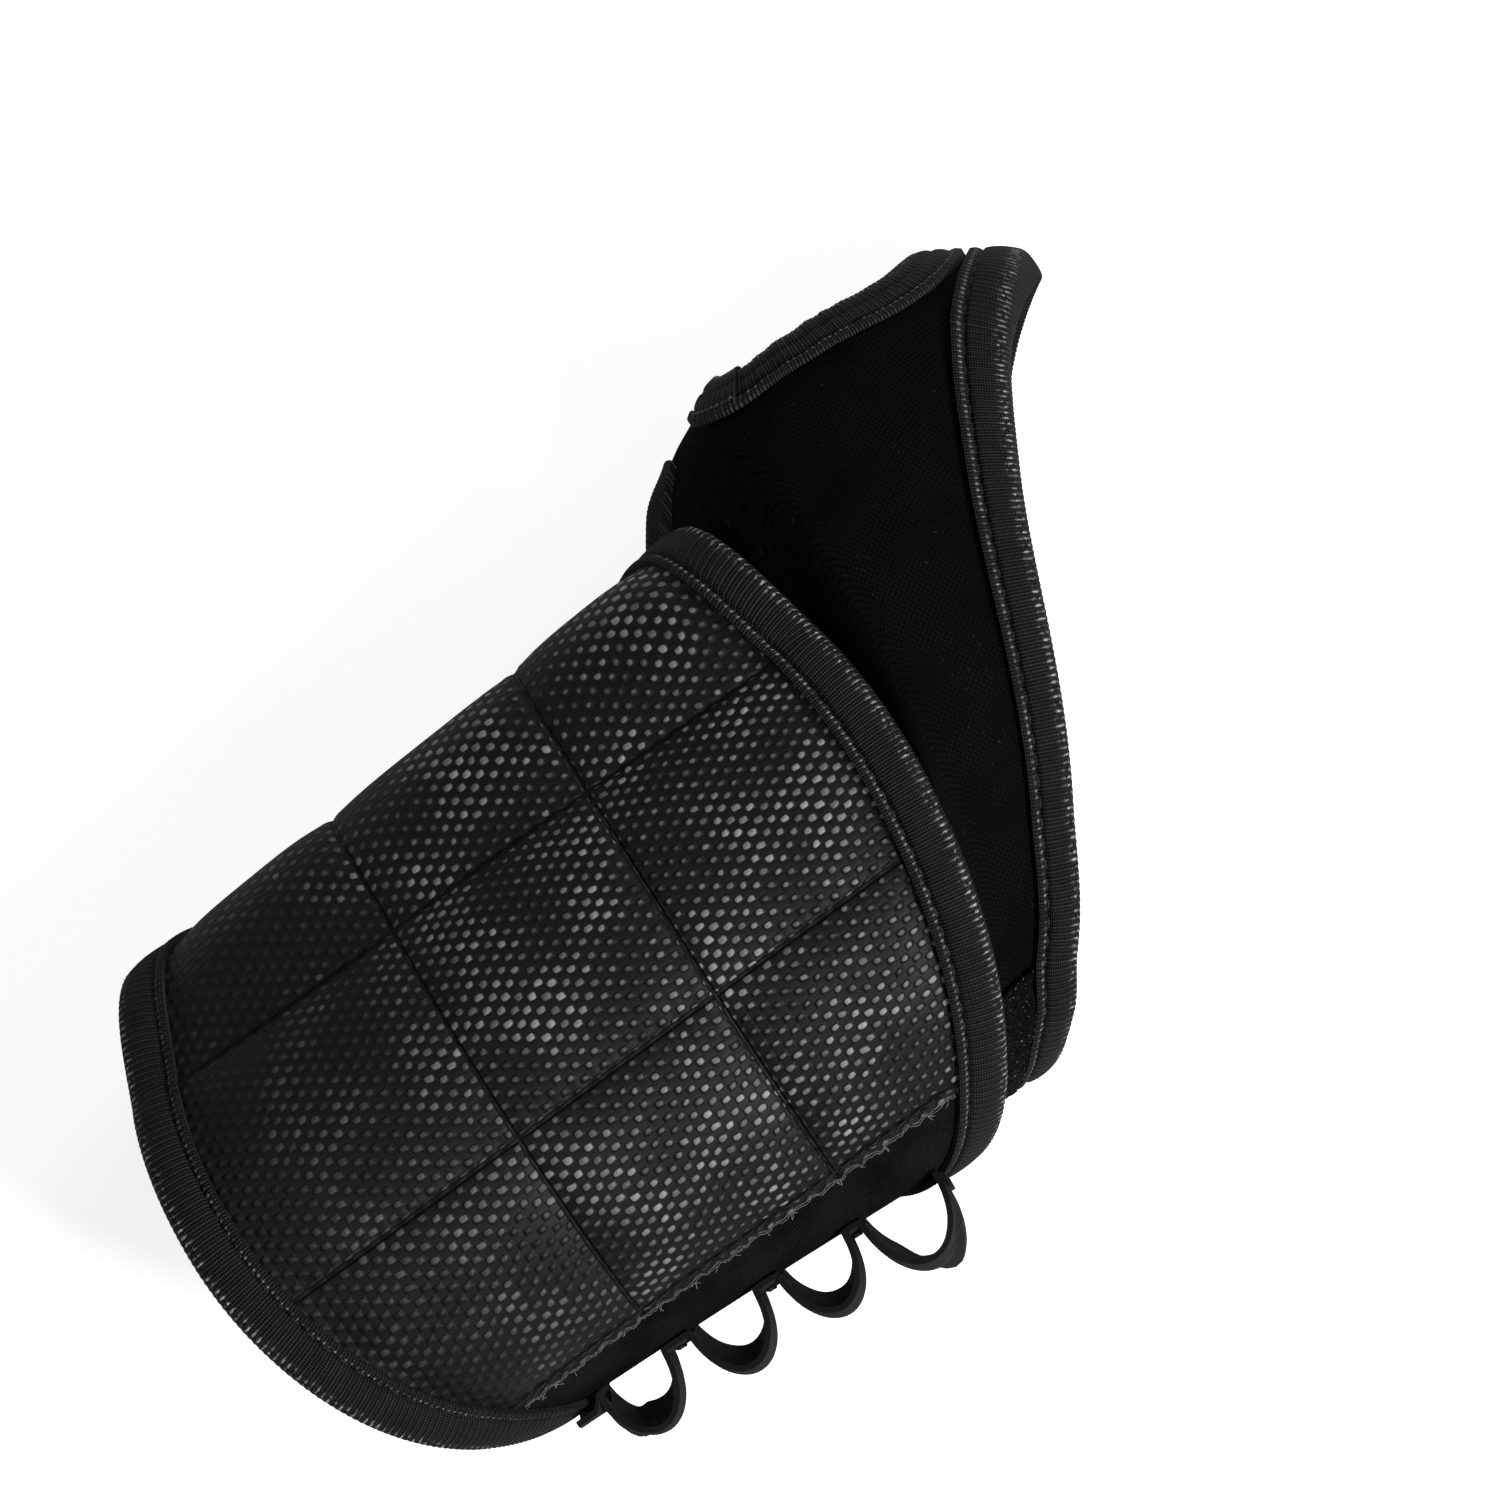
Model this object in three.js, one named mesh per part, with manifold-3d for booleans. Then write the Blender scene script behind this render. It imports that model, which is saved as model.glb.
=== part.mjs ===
// Magnetic wristband with a thumb-hole hand sling, closed as it is worn, in millimetres.
// +X runs from the forearm to the fingers, +Y to the thumb side and +Z to the back of the hand.
// The palm side is flat and rests on Z = 0. The origin lies on it, under the middle of the cuff.

import * as THREE from 'three';
import { mergeVertices } from 'three/addons/utils/BufferGeometryUtils.js';
import Module from 'manifold-3d';

const wasm = await Module();
wasm.setup();

// Layers of the quilted wrap, from the outside in, with the same gap between all of them
const gap = 0.3;
const coverThickness = 0.7;
const foamThickness = 2.6;
const liningThickness = 0.7;
const tapeThickness = 0.8;
const patchThickness = 0.9;
const patchMargin = 1.5;
const slingThickness = 2.5;
const bindingSeat = 0.4;

// Cuff: its cross-section is a flat palm side, two round sides and a long round back
const cuff = {
  halfLength: 52,
  ulnarReach: 42,
  radialReach: 30.9,
  flareShare: 0.107,
  height: 56.1,
  crownRise: 4.9,
  quiltPitch: 31,
  hingeInset: 4.4,
  tailFromHinge: 22,
  seamBetweenPanels: 0.3,
};

// Outline of the wrap where it lies flat: both long edges are arcs that level off under the palm
const distalEdge = { reach: 51.9, centre: 15.6, ulnarArc: 102, radialArc: 85, levelDrop: 31 };
const proximalEdge = { reach: -52, centre: 20.2, ulnarArc: 59, radialArc: 90, levelDrop: 25 };
const edgeBlend = 12;
const bindingLeaf = 5.5;

// Quilting: two seams run round the arm, the others along it
const quiltColumns = { proximalSeam: -12, distalSeam: 17.3 };
const pillow = { crown: 1.1, squarenessPower: 4, edgeMargin: 3, edgeInset: 1, leastWidth: 1 };
const overlock = { width: 3, thickness: 0.5 };

// Closure flap, hinged on the quilting seam nearest the thumb
const flap = { length: 44, secondSeam: 24.6, ramp: 20, cornerRadius: 12, hookStart: 26, hookEnd: 37 };

const magnet = { diameter: 12, thickness: 1.6, seatClearance: 0.4, seatOverrun: 2.6 };

// Elastic tape with its loops on the little-finger side
const elastic = { width: 16, thickness: 0.8, start: -27, end: 28.6, levelBand: 2 };
const loopSizes = { smallHalf: 4.9, smallHeight: 8, wideHalf: 5.6, wideHeight: 9 };
const loopPlaces = { first: -17.8, second: -4.1, third: 9.1, wide: 22 };
const loops = [
  { at: loopPlaces.first, half: loopSizes.smallHalf, height: loopSizes.smallHeight },
  { at: loopPlaces.second, half: loopSizes.smallHalf, height: loopSizes.smallHeight },
  { at: loopPlaces.third, half: loopSizes.smallHalf, height: loopSizes.smallHeight },
  { at: loopPlaces.wide, half: loopSizes.wideHalf, height: loopSizes.wideHeight },
];
const barTack = { length: 12, width: 1, thickness: 0.5 };

// Hand sling: its section widens to the thumb side and is cut by an oblique hand edge
const sling = {
  thumbReach: 59,
  thumbStation: 72,
  thumbArc: 39,
  palmHeight: 4.1,
  backDrop: 4,
  backDropLength: 50,
  crownRise: 3.9,
  flareLength: 7,
  lagShare: 0.5,
};
const slingStationShares = { palmStart: 1.6, palmFull: 2, thumbStart: 3, thumbFull: 3.4 };
const slingPatchShares = { start: 0.97, end: 0.5 };
const handEdge = { waistX: 77.3, waistY: 13, slopeShare: 0.42, radialFlick: 81.6, ulnarFlick: 111.8 };
const thumbHole = { centre: 71.5, halfLength: 17, halfWidth: 12.5, leaf: 5 };
const handBindingLeaf = 5.5;

// Mesh densities
const steps = {
  fine: 3, pocket: 4, magnetSides: 16, hole: 36, slingRound: 60, slingUnder: 2, slingFlare: 5, slingOut: 6,
};

const colours = {
  nylon: 0x232324,
  binding: 0x1a1a1b,
  neoprene: 0x070708,
  knit: 0x101011,
  pile: 0x141415,
  elastic: 0x151516,
  thread: 0x2b2b2d,
  magnet: 0xb9bcc0,
};

// Offsets from the outer face of the cover, outward positive
const level = {};
level.coverIn = -coverThickness;
level.foamOut = level.coverIn - gap;
level.foamIn = level.foamOut - foamThickness;
level.liningOut = level.foamIn - gap;
level.liningIn = level.liningOut - liningThickness;
level.tapeOut = bindingSeat + tapeThickness;
level.tapeIn = level.liningIn - bindingSeat - tapeThickness;
level.patchOut = gap + patchThickness;
level.hookOut = level.liningIn - gap;
level.hookIn = level.hookOut - patchThickness;
level.underSling = level.tapeIn - gap;
level.flapRise = level.tapeOut + gap - level.tapeIn;

// Side radii: the two sections stay tangent arcs whatever their height
cuff.sideRadius = (cuff.height - level.tapeOut - cuff.crownRise) / 2;
sling.sideRadius = (cuff.height + level.underSling - sling.backDrop - sling.palmHeight - sling.crownRise) / 2;

const smooth = (t) => {
  const clamped = THREE.MathUtils.clamp(t, 0, 1);
  return clamped * clamped * (3 - 2 * clamped);
};

// Cross-section made of four tangent stretches: back arc, ulnar side, palm flat, radial side
function sectionShape({ ulnar, radial, bottom, top, corner }) {
  const yUlnar = corner - ulnar;
  const yRadial = radial - corner;
  const half = (yRadial - yUlnar) / 2;
  const zSide = bottom + corner;
  const crown = top - zSide - corner;
  const centres = (half * half + crown * crown) / (2 * crown);
  const backRadius = centres + corner;
  const turn = Math.atan2(half, centres - crown);
  const sideLength = corner * (Math.PI - turn);
  return {
    yUlnar,
    yRadial,
    zSide,
    corner,
    bottom,
    backRadius,
    turn,
    yMiddle: (yRadial + yUlnar) / 2,
    zBack: zSide - centres + crown,
    lengths: [2 * backRadius * turn, sideLength, 2 * half, sideLength],
  };
}

function sectionPoint(shape, station, offset) {
  const stretch = Math.floor(station) % 4;
  const share = station - Math.floor(station);
  if (stretch === 0) {
    const angle = shape.turn * (1 - 2 * share);
    const radius = shape.backRadius + offset;
    return [shape.yMiddle + radius * Math.sin(angle), shape.zBack + radius * Math.cos(angle)];
  }
  if (stretch === 2) {
    return [THREE.MathUtils.lerp(shape.yUlnar, shape.yRadial, share), shape.bottom - offset];
  }
  const radius = shape.corner + offset;
  const fromBack = stretch === 1 ? share : 1 - share;
  const angle = THREE.MathUtils.lerp(shape.turn, Math.PI, fromBack);
  const side = stretch === 1 ? -1 : 1;
  const centre = stretch === 1 ? shape.yUlnar : shape.yRadial;
  return [centre + side * radius * Math.sin(angle), shape.zSide + radius * Math.cos(angle)];
}

const total = (lengths) => lengths.reduce((sum, length) => sum + length, 0);

// A distance round a section, in mm, as a station from 0 to 4, and back again
function stationAt(lengths, distance) {
  const round = total(lengths);
  let rest = ((distance % round) + round) % round;
  let stretch = 0;
  while (stretch < 3 && rest > lengths[stretch]) {
    rest -= lengths[stretch];
    stretch += 1;
  }
  return Math.min(stretch + rest / lengths[stretch], 4 - Number.EPSILON * 4);
}

function distanceAt(lengths, station) {
  const stretch = Math.floor(station) % 4;
  return total(lengths.slice(0, stretch)) + (station - Math.floor(station)) * lengths[stretch];
}

// Cuff surface: ruled between a narrow section at the forearm and a wider one at the hand
const cuffSection = (x) => sectionShape({
  ulnar: cuff.ulnarReach,
  radial: cuff.radialReach + cuff.flareShare * x,
  bottom: level.tapeOut,
  top: cuff.height,
  corner: cuff.sideRadius,
});
const cuffEnds = [cuffSection(-cuff.halfLength), cuffSection(cuff.halfLength)];
const cuffLengths = cuffSection(0).lengths;
const cuffRound = total(cuffLengths);

function cuffAtStation(station, x, offset) {
  const share = (x + cuff.halfLength) / (2 * cuff.halfLength);
  const [near, far] = cuffEnds.map((shape) => sectionPoint(shape, station, offset));
  return new THREE.Vector3(
    x,
    THREE.MathUtils.lerp(near[0], far[0], share),
    THREE.MathUtils.lerp(near[1], far[1], share),
  );
}

// u is the distance round the cuff from the hinge seam, positive over the back to the ulnar side
const cuffPlace = (u, x, offset) => (
  cuffAtStation(stationAt(cuffLengths, u + cuff.hingeInset), x, offset)
);

const flapLift = (u) => level.flapRise * smooth(-u / flap.ramp);
const flapPlace = (u, x, offset) => cuffPlace(u, x, offset + flapLift(u));

// Long edges of the wrap in the same two coordinates
const softMin = (a, b) => {
  const near = Math.max(edgeBlend - Math.abs(a - b), 0) / edgeBlend;
  return Math.min(a, b) - (near * near * edgeBlend) / 4;
};

function edgeAt(edge, u) {
  const away = u - edge.centre;
  const arc = away > 0 ? edge.ulnarArc : edge.radialArc;
  const drop = softMin((away * away) / (2 * arc), edge.levelDrop);
  return edge.reach - Math.sign(edge.reach) * drop;
}

const wrapHigh = (u) => edgeAt(distalEdge, u);
const wrapLow = (u) => edgeAt(proximalEdge, u);

// The flap's free end is rounded at both corners
const cornerLoss = (u) => {
  const into = flap.cornerRadius - (flap.length + u);
  if (into <= 0) return 0;
  const inside = Math.max(flap.cornerRadius ** 2 - into ** 2, 0);
  return flap.cornerRadius - Math.sqrt(inside);
};
const flapHigh = (u) => wrapHigh(u) - cornerLoss(u);
const flapLow = (u) => wrapLow(u) + cornerLoss(u);

// Line that runs just inside a binding's leaf, whose width is measured square to the edge
function insideEdge(edge, side, leaf = bindingLeaf) {
  return (u) => {
    const slope = (edge(u + gap) - edge(u - gap)) / (2 * gap);
    return edge(u) - side * (leaf + gap) * Math.hypot(1, slope);
  };
}
const insideWrapHigh = insideEdge(wrapHigh, 1);
const insideWrapLow = insideEdge(wrapLow, -1);
const insideFlapHigh = insideEdge(flapHigh, 1);
const insideFlapLow = insideEdge(flapLow, -1);

// Sling surface: it leaves the panel from below and flares to the hand's own section
const slingSection = (x) => sectionShape({
  ulnar: cuff.ulnarReach + level.underSling,
  radial: sling.thumbReach - ((x - sling.thumbStation) ** 2) / (2 * sling.thumbArc),
  bottom: sling.palmHeight,
  top: cuff.height + level.underSling - sling.backDrop * smooth((x - distalEdge.reach) / sling.backDropLength),
  corner: sling.sideRadius,
});
const slingLengths = slingSection(sling.thumbStation).lengths;
const slingRound = total(slingLengths);

// Distance from the hinge seam the short way round, so that the far side is met from both ends
function cuffDistance(station) {
  const u = distanceAt(cuffLengths, station) - cuff.hingeInset;
  const farSide = distalEdge.centre + cuffRound / 2;
  return u > farSide ? u - cuffRound : u;
}

// The sling's inner edge meets the binding where the wrap is narrowest, under the palm
const slingSeam = distalEdge.reach - distalEdge.levelDrop + level.tapeOut + 2 * gap;
const slingStart = (station) => wrapHigh(cuffDistance(station)) + level.tapeOut + gap;

// Level of the sling's outer face below the panel, at the palm and under the flap
function underLevel(station) {
  const { palmStart, palmFull, thumbStart, thumbFull } = slingStationShares;
  const palmLevel = level.tapeOut - sling.palmHeight;
  const lifted = level.underSling + flapLift(cuffDistance(station));
  if (station < 1) return lifted;
  if (station < thumbStart) {
    const share = smooth((station - palmStart) / (palmFull - palmStart));
    return THREE.MathUtils.lerp(level.underSling, palmLevel, share);
  }
  return THREE.MathUtils.lerp(palmLevel, lifted, smooth((station - thumbStart) / (thumbFull - thumbStart)));
}

function slingAtStation(station, x, offset) {
  const section = slingSection(x);
  const hand = sectionPoint(section, station, offset);
  const under = cuffAtStation(station, x, underLevel(station) + offset);
  const past = THREE.MathUtils.clamp((x + sling.lagShare * offset - slingStart(station)) / sling.flareLength, 0, 1);
  const share = 1 - (1 - past) ** 3;
  return new THREE.Vector3(
    x,
    THREE.MathUtils.lerp(under.y, hand[0], share),
    THREE.MathUtils.lerp(under.z, hand[1], share),
  );
}
const slingPlace = (w, x, offset) => slingAtStation(stationAt(slingLengths, w), x, offset);

// Oblique hand edge: one S-shaped cut through back and palm, found by halving the step to it
function handEdgeAt(w) {
  let x = handEdge.waistX;
  for (let pass = 0; pass < steps.hole; pass += 1) {
    const away = slingPlace(w, x, 0).y - handEdge.waistY;
    const flick = away > 0 ? handEdge.radialFlick : handEdge.ulnarFlick;
    const cut = handEdge.waistX + handEdge.slopeShare * away + away ** 3 / flick ** 2;
    x = (x + cut) / 2;
  }
  return x;
}

// Closed body from two matching grids of points, an outer and an inner one
function gridBody(rows, columns, place, closed = false) {
  const positions = [];
  const rowCount = closed ? rows : rows + 1;
  for (const side of [0, 1]) {
    for (let i = 0; i < rowCount; i += 1) {
      for (let j = 0; j <= columns; j += 1) {
        positions.push(...place(i / rows, j / columns, side).toArray());
      }
    }
  }
  const layer = rowCount * (columns + 1);
  const at = (i, j, side) => side * layer + (i % rowCount) * (columns + 1) + j;
  const faces = [];
  const quad = (a, b, c, d) => faces.push(a, b, c, a, c, d);
  for (let i = 0; i < rows; i += 1) {
    for (let j = 0; j < columns; j += 1) {
      quad(at(i, j, 0), at(i + 1, j, 0), at(i + 1, j + 1, 0), at(i, j + 1, 0));
      quad(at(i, j + 1, 1), at(i + 1, j + 1, 1), at(i + 1, j, 1), at(i, j, 1));
    }
    quad(at(i, 0, 1), at(i + 1, 0, 1), at(i + 1, 0, 0), at(i, 0, 0));
    quad(at(i, columns, 0), at(i + 1, columns, 0), at(i + 1, columns, 1), at(i, columns, 1));
  }
  if (!closed) {
    for (let j = 0; j < columns; j += 1) {
      quad(at(0, j, 0), at(0, j + 1, 0), at(0, j + 1, 1), at(0, j, 1));
      quad(at(rows, j, 1), at(rows, j + 1, 1), at(rows, j + 1, 0), at(rows, j, 0));
    }
  }
  return bodyFrom(positions, faces);
}

function bodyFrom(positions, faces) {
  const point = (index) => new THREE.Vector3().fromArray(positions, index * 3);
  let volume = 0;
  for (let k = 0; k < faces.length; k += 3) {
    volume += point(faces[k]).dot(point(faces[k + 1]).cross(point(faces[k + 2])));
  }
  if (volume < 0) faces.reverse();
  const geometry = new THREE.BufferGeometry();
  geometry.setAttribute('position', new THREE.Float32BufferAttribute(positions, 3));
  geometry.setIndex(faces);
  return geometry;
}

// Layer of the wrap between two offsets, from uStart to uEnd, held between two edge lines
function layerBody({ surface, uStart, uEnd, low, high, outer, inner, across = 3 }) {
  const rows = Math.max(2, Math.ceil(Math.abs(uEnd - uStart) / steps.fine));
  return gridBody(rows, across, (p, q, side) => {
    const u = THREE.MathUtils.lerp(uStart, uEnd, p);
    const x = THREE.MathUtils.lerp(low(u), high(u), q);
    return surface(u, x, side === 0 ? outer : inner);
  });
}

// Binding tape folded over an edge: a U of two leaves and a round nose, swept along the edge line.
// An open line's ends are cut along the seam they meet.
// A closed line that goes once round the section says how long that round is.
function bindingBody({ surface, line, closed = false, round = Infinity, top, bottom, leaf }) {
  const seat = bindingSeat;
  const innerTop = top + seat;
  const innerBottom = bottom - seat;
  const outerTop = innerTop + tapeThickness;
  const outerBottom = innerBottom - tapeThickness;
  const nose = seat + tapeThickness;
  const innerTurn = seat / 2;
  const outerFold = [
    [-leaf, outerTop], [seat, outerTop], [nose, top], [nose, bottom], [seat, outerBottom], [-leaf, outerBottom],
  ];
  const innerFold = [
    [-leaf, innerTop],
    [innerTurn, innerTop],
    [seat, top],
    [seat, bottom],
    [innerTurn, innerBottom],
    [-leaf, innerBottom],
  ];
  const count = line.length;
  const frame = line.map((point, index) => {
    const before = line[closed ? (index + count - 1) % count : Math.max(index - 1, 0)];
    const after = line[closed ? (index + 1) % count : Math.min(index + 1, count - 1)];
    const along = after.clone().sub(before);
    along.x -= Number.isFinite(round) ? round * Math.round(along.x / round) : 0;
    along.normalize();
    const out = new THREE.Vector2(along.y, -along.x);
    const cutSquare = !closed && (index === 0 || index === count - 1);
    return { point, out: cutSquare ? out.round() : out };
  });
  const rows = closed ? count : count - 1;
  return gridBody(rows, outerFold.length - 1, (p, q, side) => {
    const { point, out } = frame[Math.round(p * rows) % count];
    const [away, offset] = (side === 0 ? outerFold : innerFold)[Math.round(q * (outerFold.length - 1))];
    return surface(point.x + out.x * away, point.y + out.y * away, offset);
  }, closed);
}

// Points of an edge line, at about the fine step
function edgeLine(uStart, uEnd, edge) {
  const count = Math.ceil(Math.abs(uEnd - uStart) / steps.fine);
  return Array.from({ length: count + 1 }, (_, index) => {
    const u = THREE.MathUtils.lerp(uStart, uEnd, index / count);
    return new THREE.Vector2(u, edge(u));
  });
}

// Solids for cutting
function toSolid(geometry) {
  const bare = geometry.clone();
  bare.deleteAttribute('normal');
  bare.deleteAttribute('uv');
  const merged = mergeVertices(bare);
  return new wasm.Manifold(new wasm.Mesh({
    numProp: 3,
    vertProperties: new Float32Array(merged.attributes.position.array),
    triVerts: new Uint32Array(merged.index.array),
  }));
}

function cutBy(geometry, cutters) {
  let solid = toSolid(geometry);
  for (const cutter of cutters) solid = solid.subtract(toSolid(cutter));
  const mesh = solid.getMesh();
  const cut = new THREE.BufferGeometry();
  cut.setAttribute('position', new THREE.Float32BufferAttribute(mesh.vertProperties, 3));
  cut.setIndex(new THREE.Uint32BufferAttribute(mesh.triVerts, 1));
  return cut;
}

const material = (name, color, roughness, metalness = 0) => (
  new THREE.MeshStandardMaterial({ name, color, roughness, metalness })
);
const finish = {
  nylon: () => material('ballistic nylon', colours.nylon, 0.62),
  binding: () => material('ribbed binding tape', colours.binding, 0.7),
  neoprene: () => material('neoprene', colours.neoprene, 0.92),
  knit: () => material('knit', colours.knit, 0.9),
  pile: () => material('loop pile', colours.pile, 1),
  hook: () => material('hook tape', colours.knit, 0.55),
  elastic: () => material('woven elastic', colours.elastic, 0.8),
  thread: () => material('thread', colours.thread, 0.6),
  magnet: () => material('nickel-plated magnet', colours.magnet, 0.3, 1),
};

const wristband = new THREE.Group();
const flapGroup = new THREE.Group();
wristband.add(flapGroup);

function addPiece(group, name, geometry, look) {
  geometry.computeVertexNormals();
  const mesh = new THREE.Mesh(geometry, look);
  mesh.name = name;
  group.add(mesh);
  return mesh;
}

// Quilted relief: each pocket swells from its seams, and bound edges stay flat
function quiltMarks(u, insideLow, insideHigh) {
  const { proximalSeam, distalSeam } = quiltColumns;
  return [
    Math.min(insideLow(u) + pillow.edgeInset, proximalSeam - pillow.leastWidth),
    proximalSeam,
    distalSeam,
    Math.max(insideHigh(u) - pillow.edgeInset, distalSeam + pillow.leastWidth),
  ];
}

function pocketRelief(rowEdges, insideLow, insideHigh) {
  const swell = (value, start, end) => {
    const middle = (start + end) / 2;
    const half = Math.abs(end - start) / 2;
    const share = Math.min(Math.abs(value - middle) / half, 1);
    return 1 - share ** pillow.squarenessPower;
  };
  return (u, x) => {
    const columns = quiltMarks(u, insideLow, insideHigh);
    const within = (edges, value) => {
      for (let k = 0; k < edges.length - 1; k += 1) {
        const start = Math.min(edges[k], edges[k + 1]);
        const end = Math.max(edges[k], edges[k + 1]);
        if (value > start && value < end) return swell(value, start, end);
      }
      return 0;
    };
    return pillow.crown * within(rowEdges, u) * within(columns, x);
  };
}

// Grid columns that land on the seams and on the bound edges of the quilting
function quiltGrid(rowEdges, { low, high, insideLow, insideHigh }) {
  const uValues = [];
  for (let k = 0; k < rowEdges.length - 1; k += 1) {
    const rowsEach = Math.ceil(Math.abs(rowEdges[k + 1] - rowEdges[k]) / steps.fine);
    for (let i = 0; i < rowsEach; i += 1) {
      uValues.push(THREE.MathUtils.lerp(rowEdges[k], rowEdges[k + 1], i / rowsEach));
    }
  }
  uValues.push(rowEdges[rowEdges.length - 1]);
  const xValues = (u) => {
    const marks = quiltMarks(u, insideLow, insideHigh);
    const values = [low(u)];
    for (let k = 0; k < marks.length - 1; k += 1) {
      for (let i = 0; i < steps.pocket; i += 1) {
        values.push(THREE.MathUtils.lerp(marks[k], marks[k + 1], i / steps.pocket));
      }
    }
    values.push(marks[marks.length - 1], high(u));
    return values;
  };
  return { uValues, xValues };
}

function quiltedCover(surface, rowEdges, pocketEdges, edges) {
  const { uValues, xValues } = quiltGrid(rowEdges, edges);
  const relief = pocketRelief(pocketEdges, edges.insideLow, edges.insideHigh);
  const columns = xValues(uValues[0]).length - 1;
  return gridBody(uValues.length - 1, columns, (p, q, side) => {
    const u = uValues[Math.round(p * (uValues.length - 1))];
    const x = xValues(u)[Math.round(q * columns)];
    return surface(u, x, (side === 0 ? 0 : level.coverIn) + relief(u, x));
  });
}

// Magnets: flat discs in through seats of the foam, one in the middle of each quilted pocket
function magnetFrame(surface, u, x) {
  const nudge = gap;
  const depth = level.foamIn + magnet.thickness / 2;
  const centre = surface(u, x, depth);
  const alongU = surface(u + nudge, x, depth).sub(surface(u - nudge, x, depth));
  const alongX = surface(u, x + nudge, depth).sub(surface(u, x - nudge, depth));
  const normal = alongU.cross(alongX).normalize();
  if (normal.dot(surface(u, x, 0).sub(centre)) < 0) normal.negate();
  const turn = new THREE.Quaternion().setFromUnitVectors(new THREE.Vector3(0, 1, 0), normal);
  return { centre, turn };
}

function seatCutter({ centre, turn }) {
  const radius = magnet.diameter / 2 + magnet.seatClearance;
  const length = foamThickness + 2 * magnet.seatOverrun;
  const cutter = new THREE.CylinderGeometry(radius, radius, length, steps.magnetSides);
  return cutter.applyQuaternion(turn).translate(centre.x, centre.y, centre.z);
}

function addMagnets(group, surface, u, edges, firstNumber) {
  const marks = quiltMarks(u, edges.insideLow, edges.insideHigh);
  return marks.slice(1).map((mark, index) => {
    const place = magnetFrame(surface, u, (mark + marks[index]) / 2);
    const radius = magnet.diameter / 2;
    const disc = new THREE.CylinderGeometry(radius, radius, magnet.thickness, steps.magnetSides);
    const mesh = addPiece(group, `magnet_${firstNumber + index}`, disc, finish.magnet());
    mesh.position.copy(place.centre);
    mesh.quaternion.copy(place.turn);
    return seatCutter(place);
  });
}

// Quilted magnet panel on the back of the wrist
const panelStart = cuff.seamBetweenPanels / 2;
const rawEdge = 2 * cuff.quiltPitch;
const wrapEnd = cuffRound - cuff.tailFromHinge;
const panelRows = [panelStart, cuff.quiltPitch, rawEdge - gap / 2];
const panelPockets = [0, cuff.quiltPitch, rawEdge - pillow.edgeMargin];

const wrapEdges = {
  low: wrapLow, high: wrapHigh, insideLow: insideWrapLow, insideHigh: insideWrapHigh,
};
const panelCover = quiltedCover(cuffPlace, panelRows, panelPockets, wrapEdges);
addPiece(wristband, 'panel_nylon', panelCover, finish.nylon());

const panelSeats = [0, 1].flatMap((row) => (
  addMagnets(wristband, cuffPlace, (row + 1 / 2) * cuff.quiltPitch, wrapEdges, 1 + row * 3)
));
const panelFoam = layerBody({
  surface: cuffPlace, uStart: panelStart, uEnd: rawEdge - gap / 2, low: wrapLow, high: wrapHigh,
  outer: level.foamOut, inner: level.foamIn,
});
addPiece(wristband, 'panel_foam', cutBy(panelFoam, panelSeats), finish.neoprene());

// Plain part of the wrap: over the ulnar side, under the palm and up to the tail at the thumb side
const plainWrap = { surface: cuffPlace, uStart: rawEdge + gap / 2, uEnd: wrapEnd, low: wrapLow, high: wrapHigh };
addPiece(wristband, 'wrap_neoprene', layerBody({
  ...plainWrap, outer: level.foamOut, inner: level.foamIn,
}), finish.neoprene());
addPiece(wristband, 'wrap_knit_cover', layerBody({
  ...plainWrap, outer: 0, inner: level.coverIn,
}), finish.knit());
addPiece(wristband, 'cuff_lining', layerBody({
  ...plainWrap, uStart: panelStart, outer: level.liningOut, inner: level.liningIn,
}), finish.knit());

// Overlocked thread along the nylon's raw edge
addPiece(wristband, 'raw_edge_overlock', layerBody({
  surface: cuffPlace, uStart: rawEdge - overlock.width / 2, uEnd: rawEdge + overlock.width / 2,
  low: insideWrapLow, high: insideWrapHigh, outer: gap + overlock.thickness, inner: gap,
}), finish.thread());

// Bindings of the wrap
const wrapBinding = { surface: cuffPlace, top: 0, bottom: level.liningIn, leaf: bindingLeaf };
addPiece(wristband, 'distal_binding', bindingBody({
  ...wrapBinding, line: edgeLine(wrapEnd, panelStart, wrapHigh),
}), finish.binding());
addPiece(wristband, 'proximal_binding', bindingBody({
  ...wrapBinding, line: edgeLine(panelStart, wrapEnd, wrapLow),
}), finish.binding());
const tailLine = [0, 1 / 4, 1 / 2, 3 / 4, 1].map((share) => {
  return new THREE.Vector2(
    wrapEnd,
    THREE.MathUtils.lerp(insideWrapLow(wrapEnd), insideWrapHigh(wrapEnd), share),
  );
});
addPiece(wristband, 'tail_binding', bindingBody({ ...wrapBinding, line: tailLine }), finish.binding());

// Loop pile on the palm and the tail, level with the bindings, for the flap's hook
const palmStart = cuffLengths[0] + cuffLengths[1] - cuff.hingeInset;
addPiece(wristband, 'loop_pile', layerBody({
  surface: cuffPlace, uStart: palmStart, uEnd: wrapEnd - bindingLeaf - gap,
  low: insideWrapLow, high: insideWrapHigh, outer: level.patchOut, inner: gap,
}), finish.pile());

// Elastic tape: flat between the loops, arched at each one, and lifted over the bindings at its ends
const elasticMiddle = cuffLengths[0] - cuff.hingeInset
  + cuff.sideRadius * (Math.PI / 2 - cuffSection(0).turn);
const overBinding = (u, x) => {
  const fromHigh = smooth((x + elastic.levelBand - insideWrapHigh(u)) / elastic.levelBand);
  const fromLow = smooth((insideWrapLow(u) + elastic.levelBand - x) / elastic.levelBand);
  return level.tapeOut * Math.max(fromHigh, fromLow);
};

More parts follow.
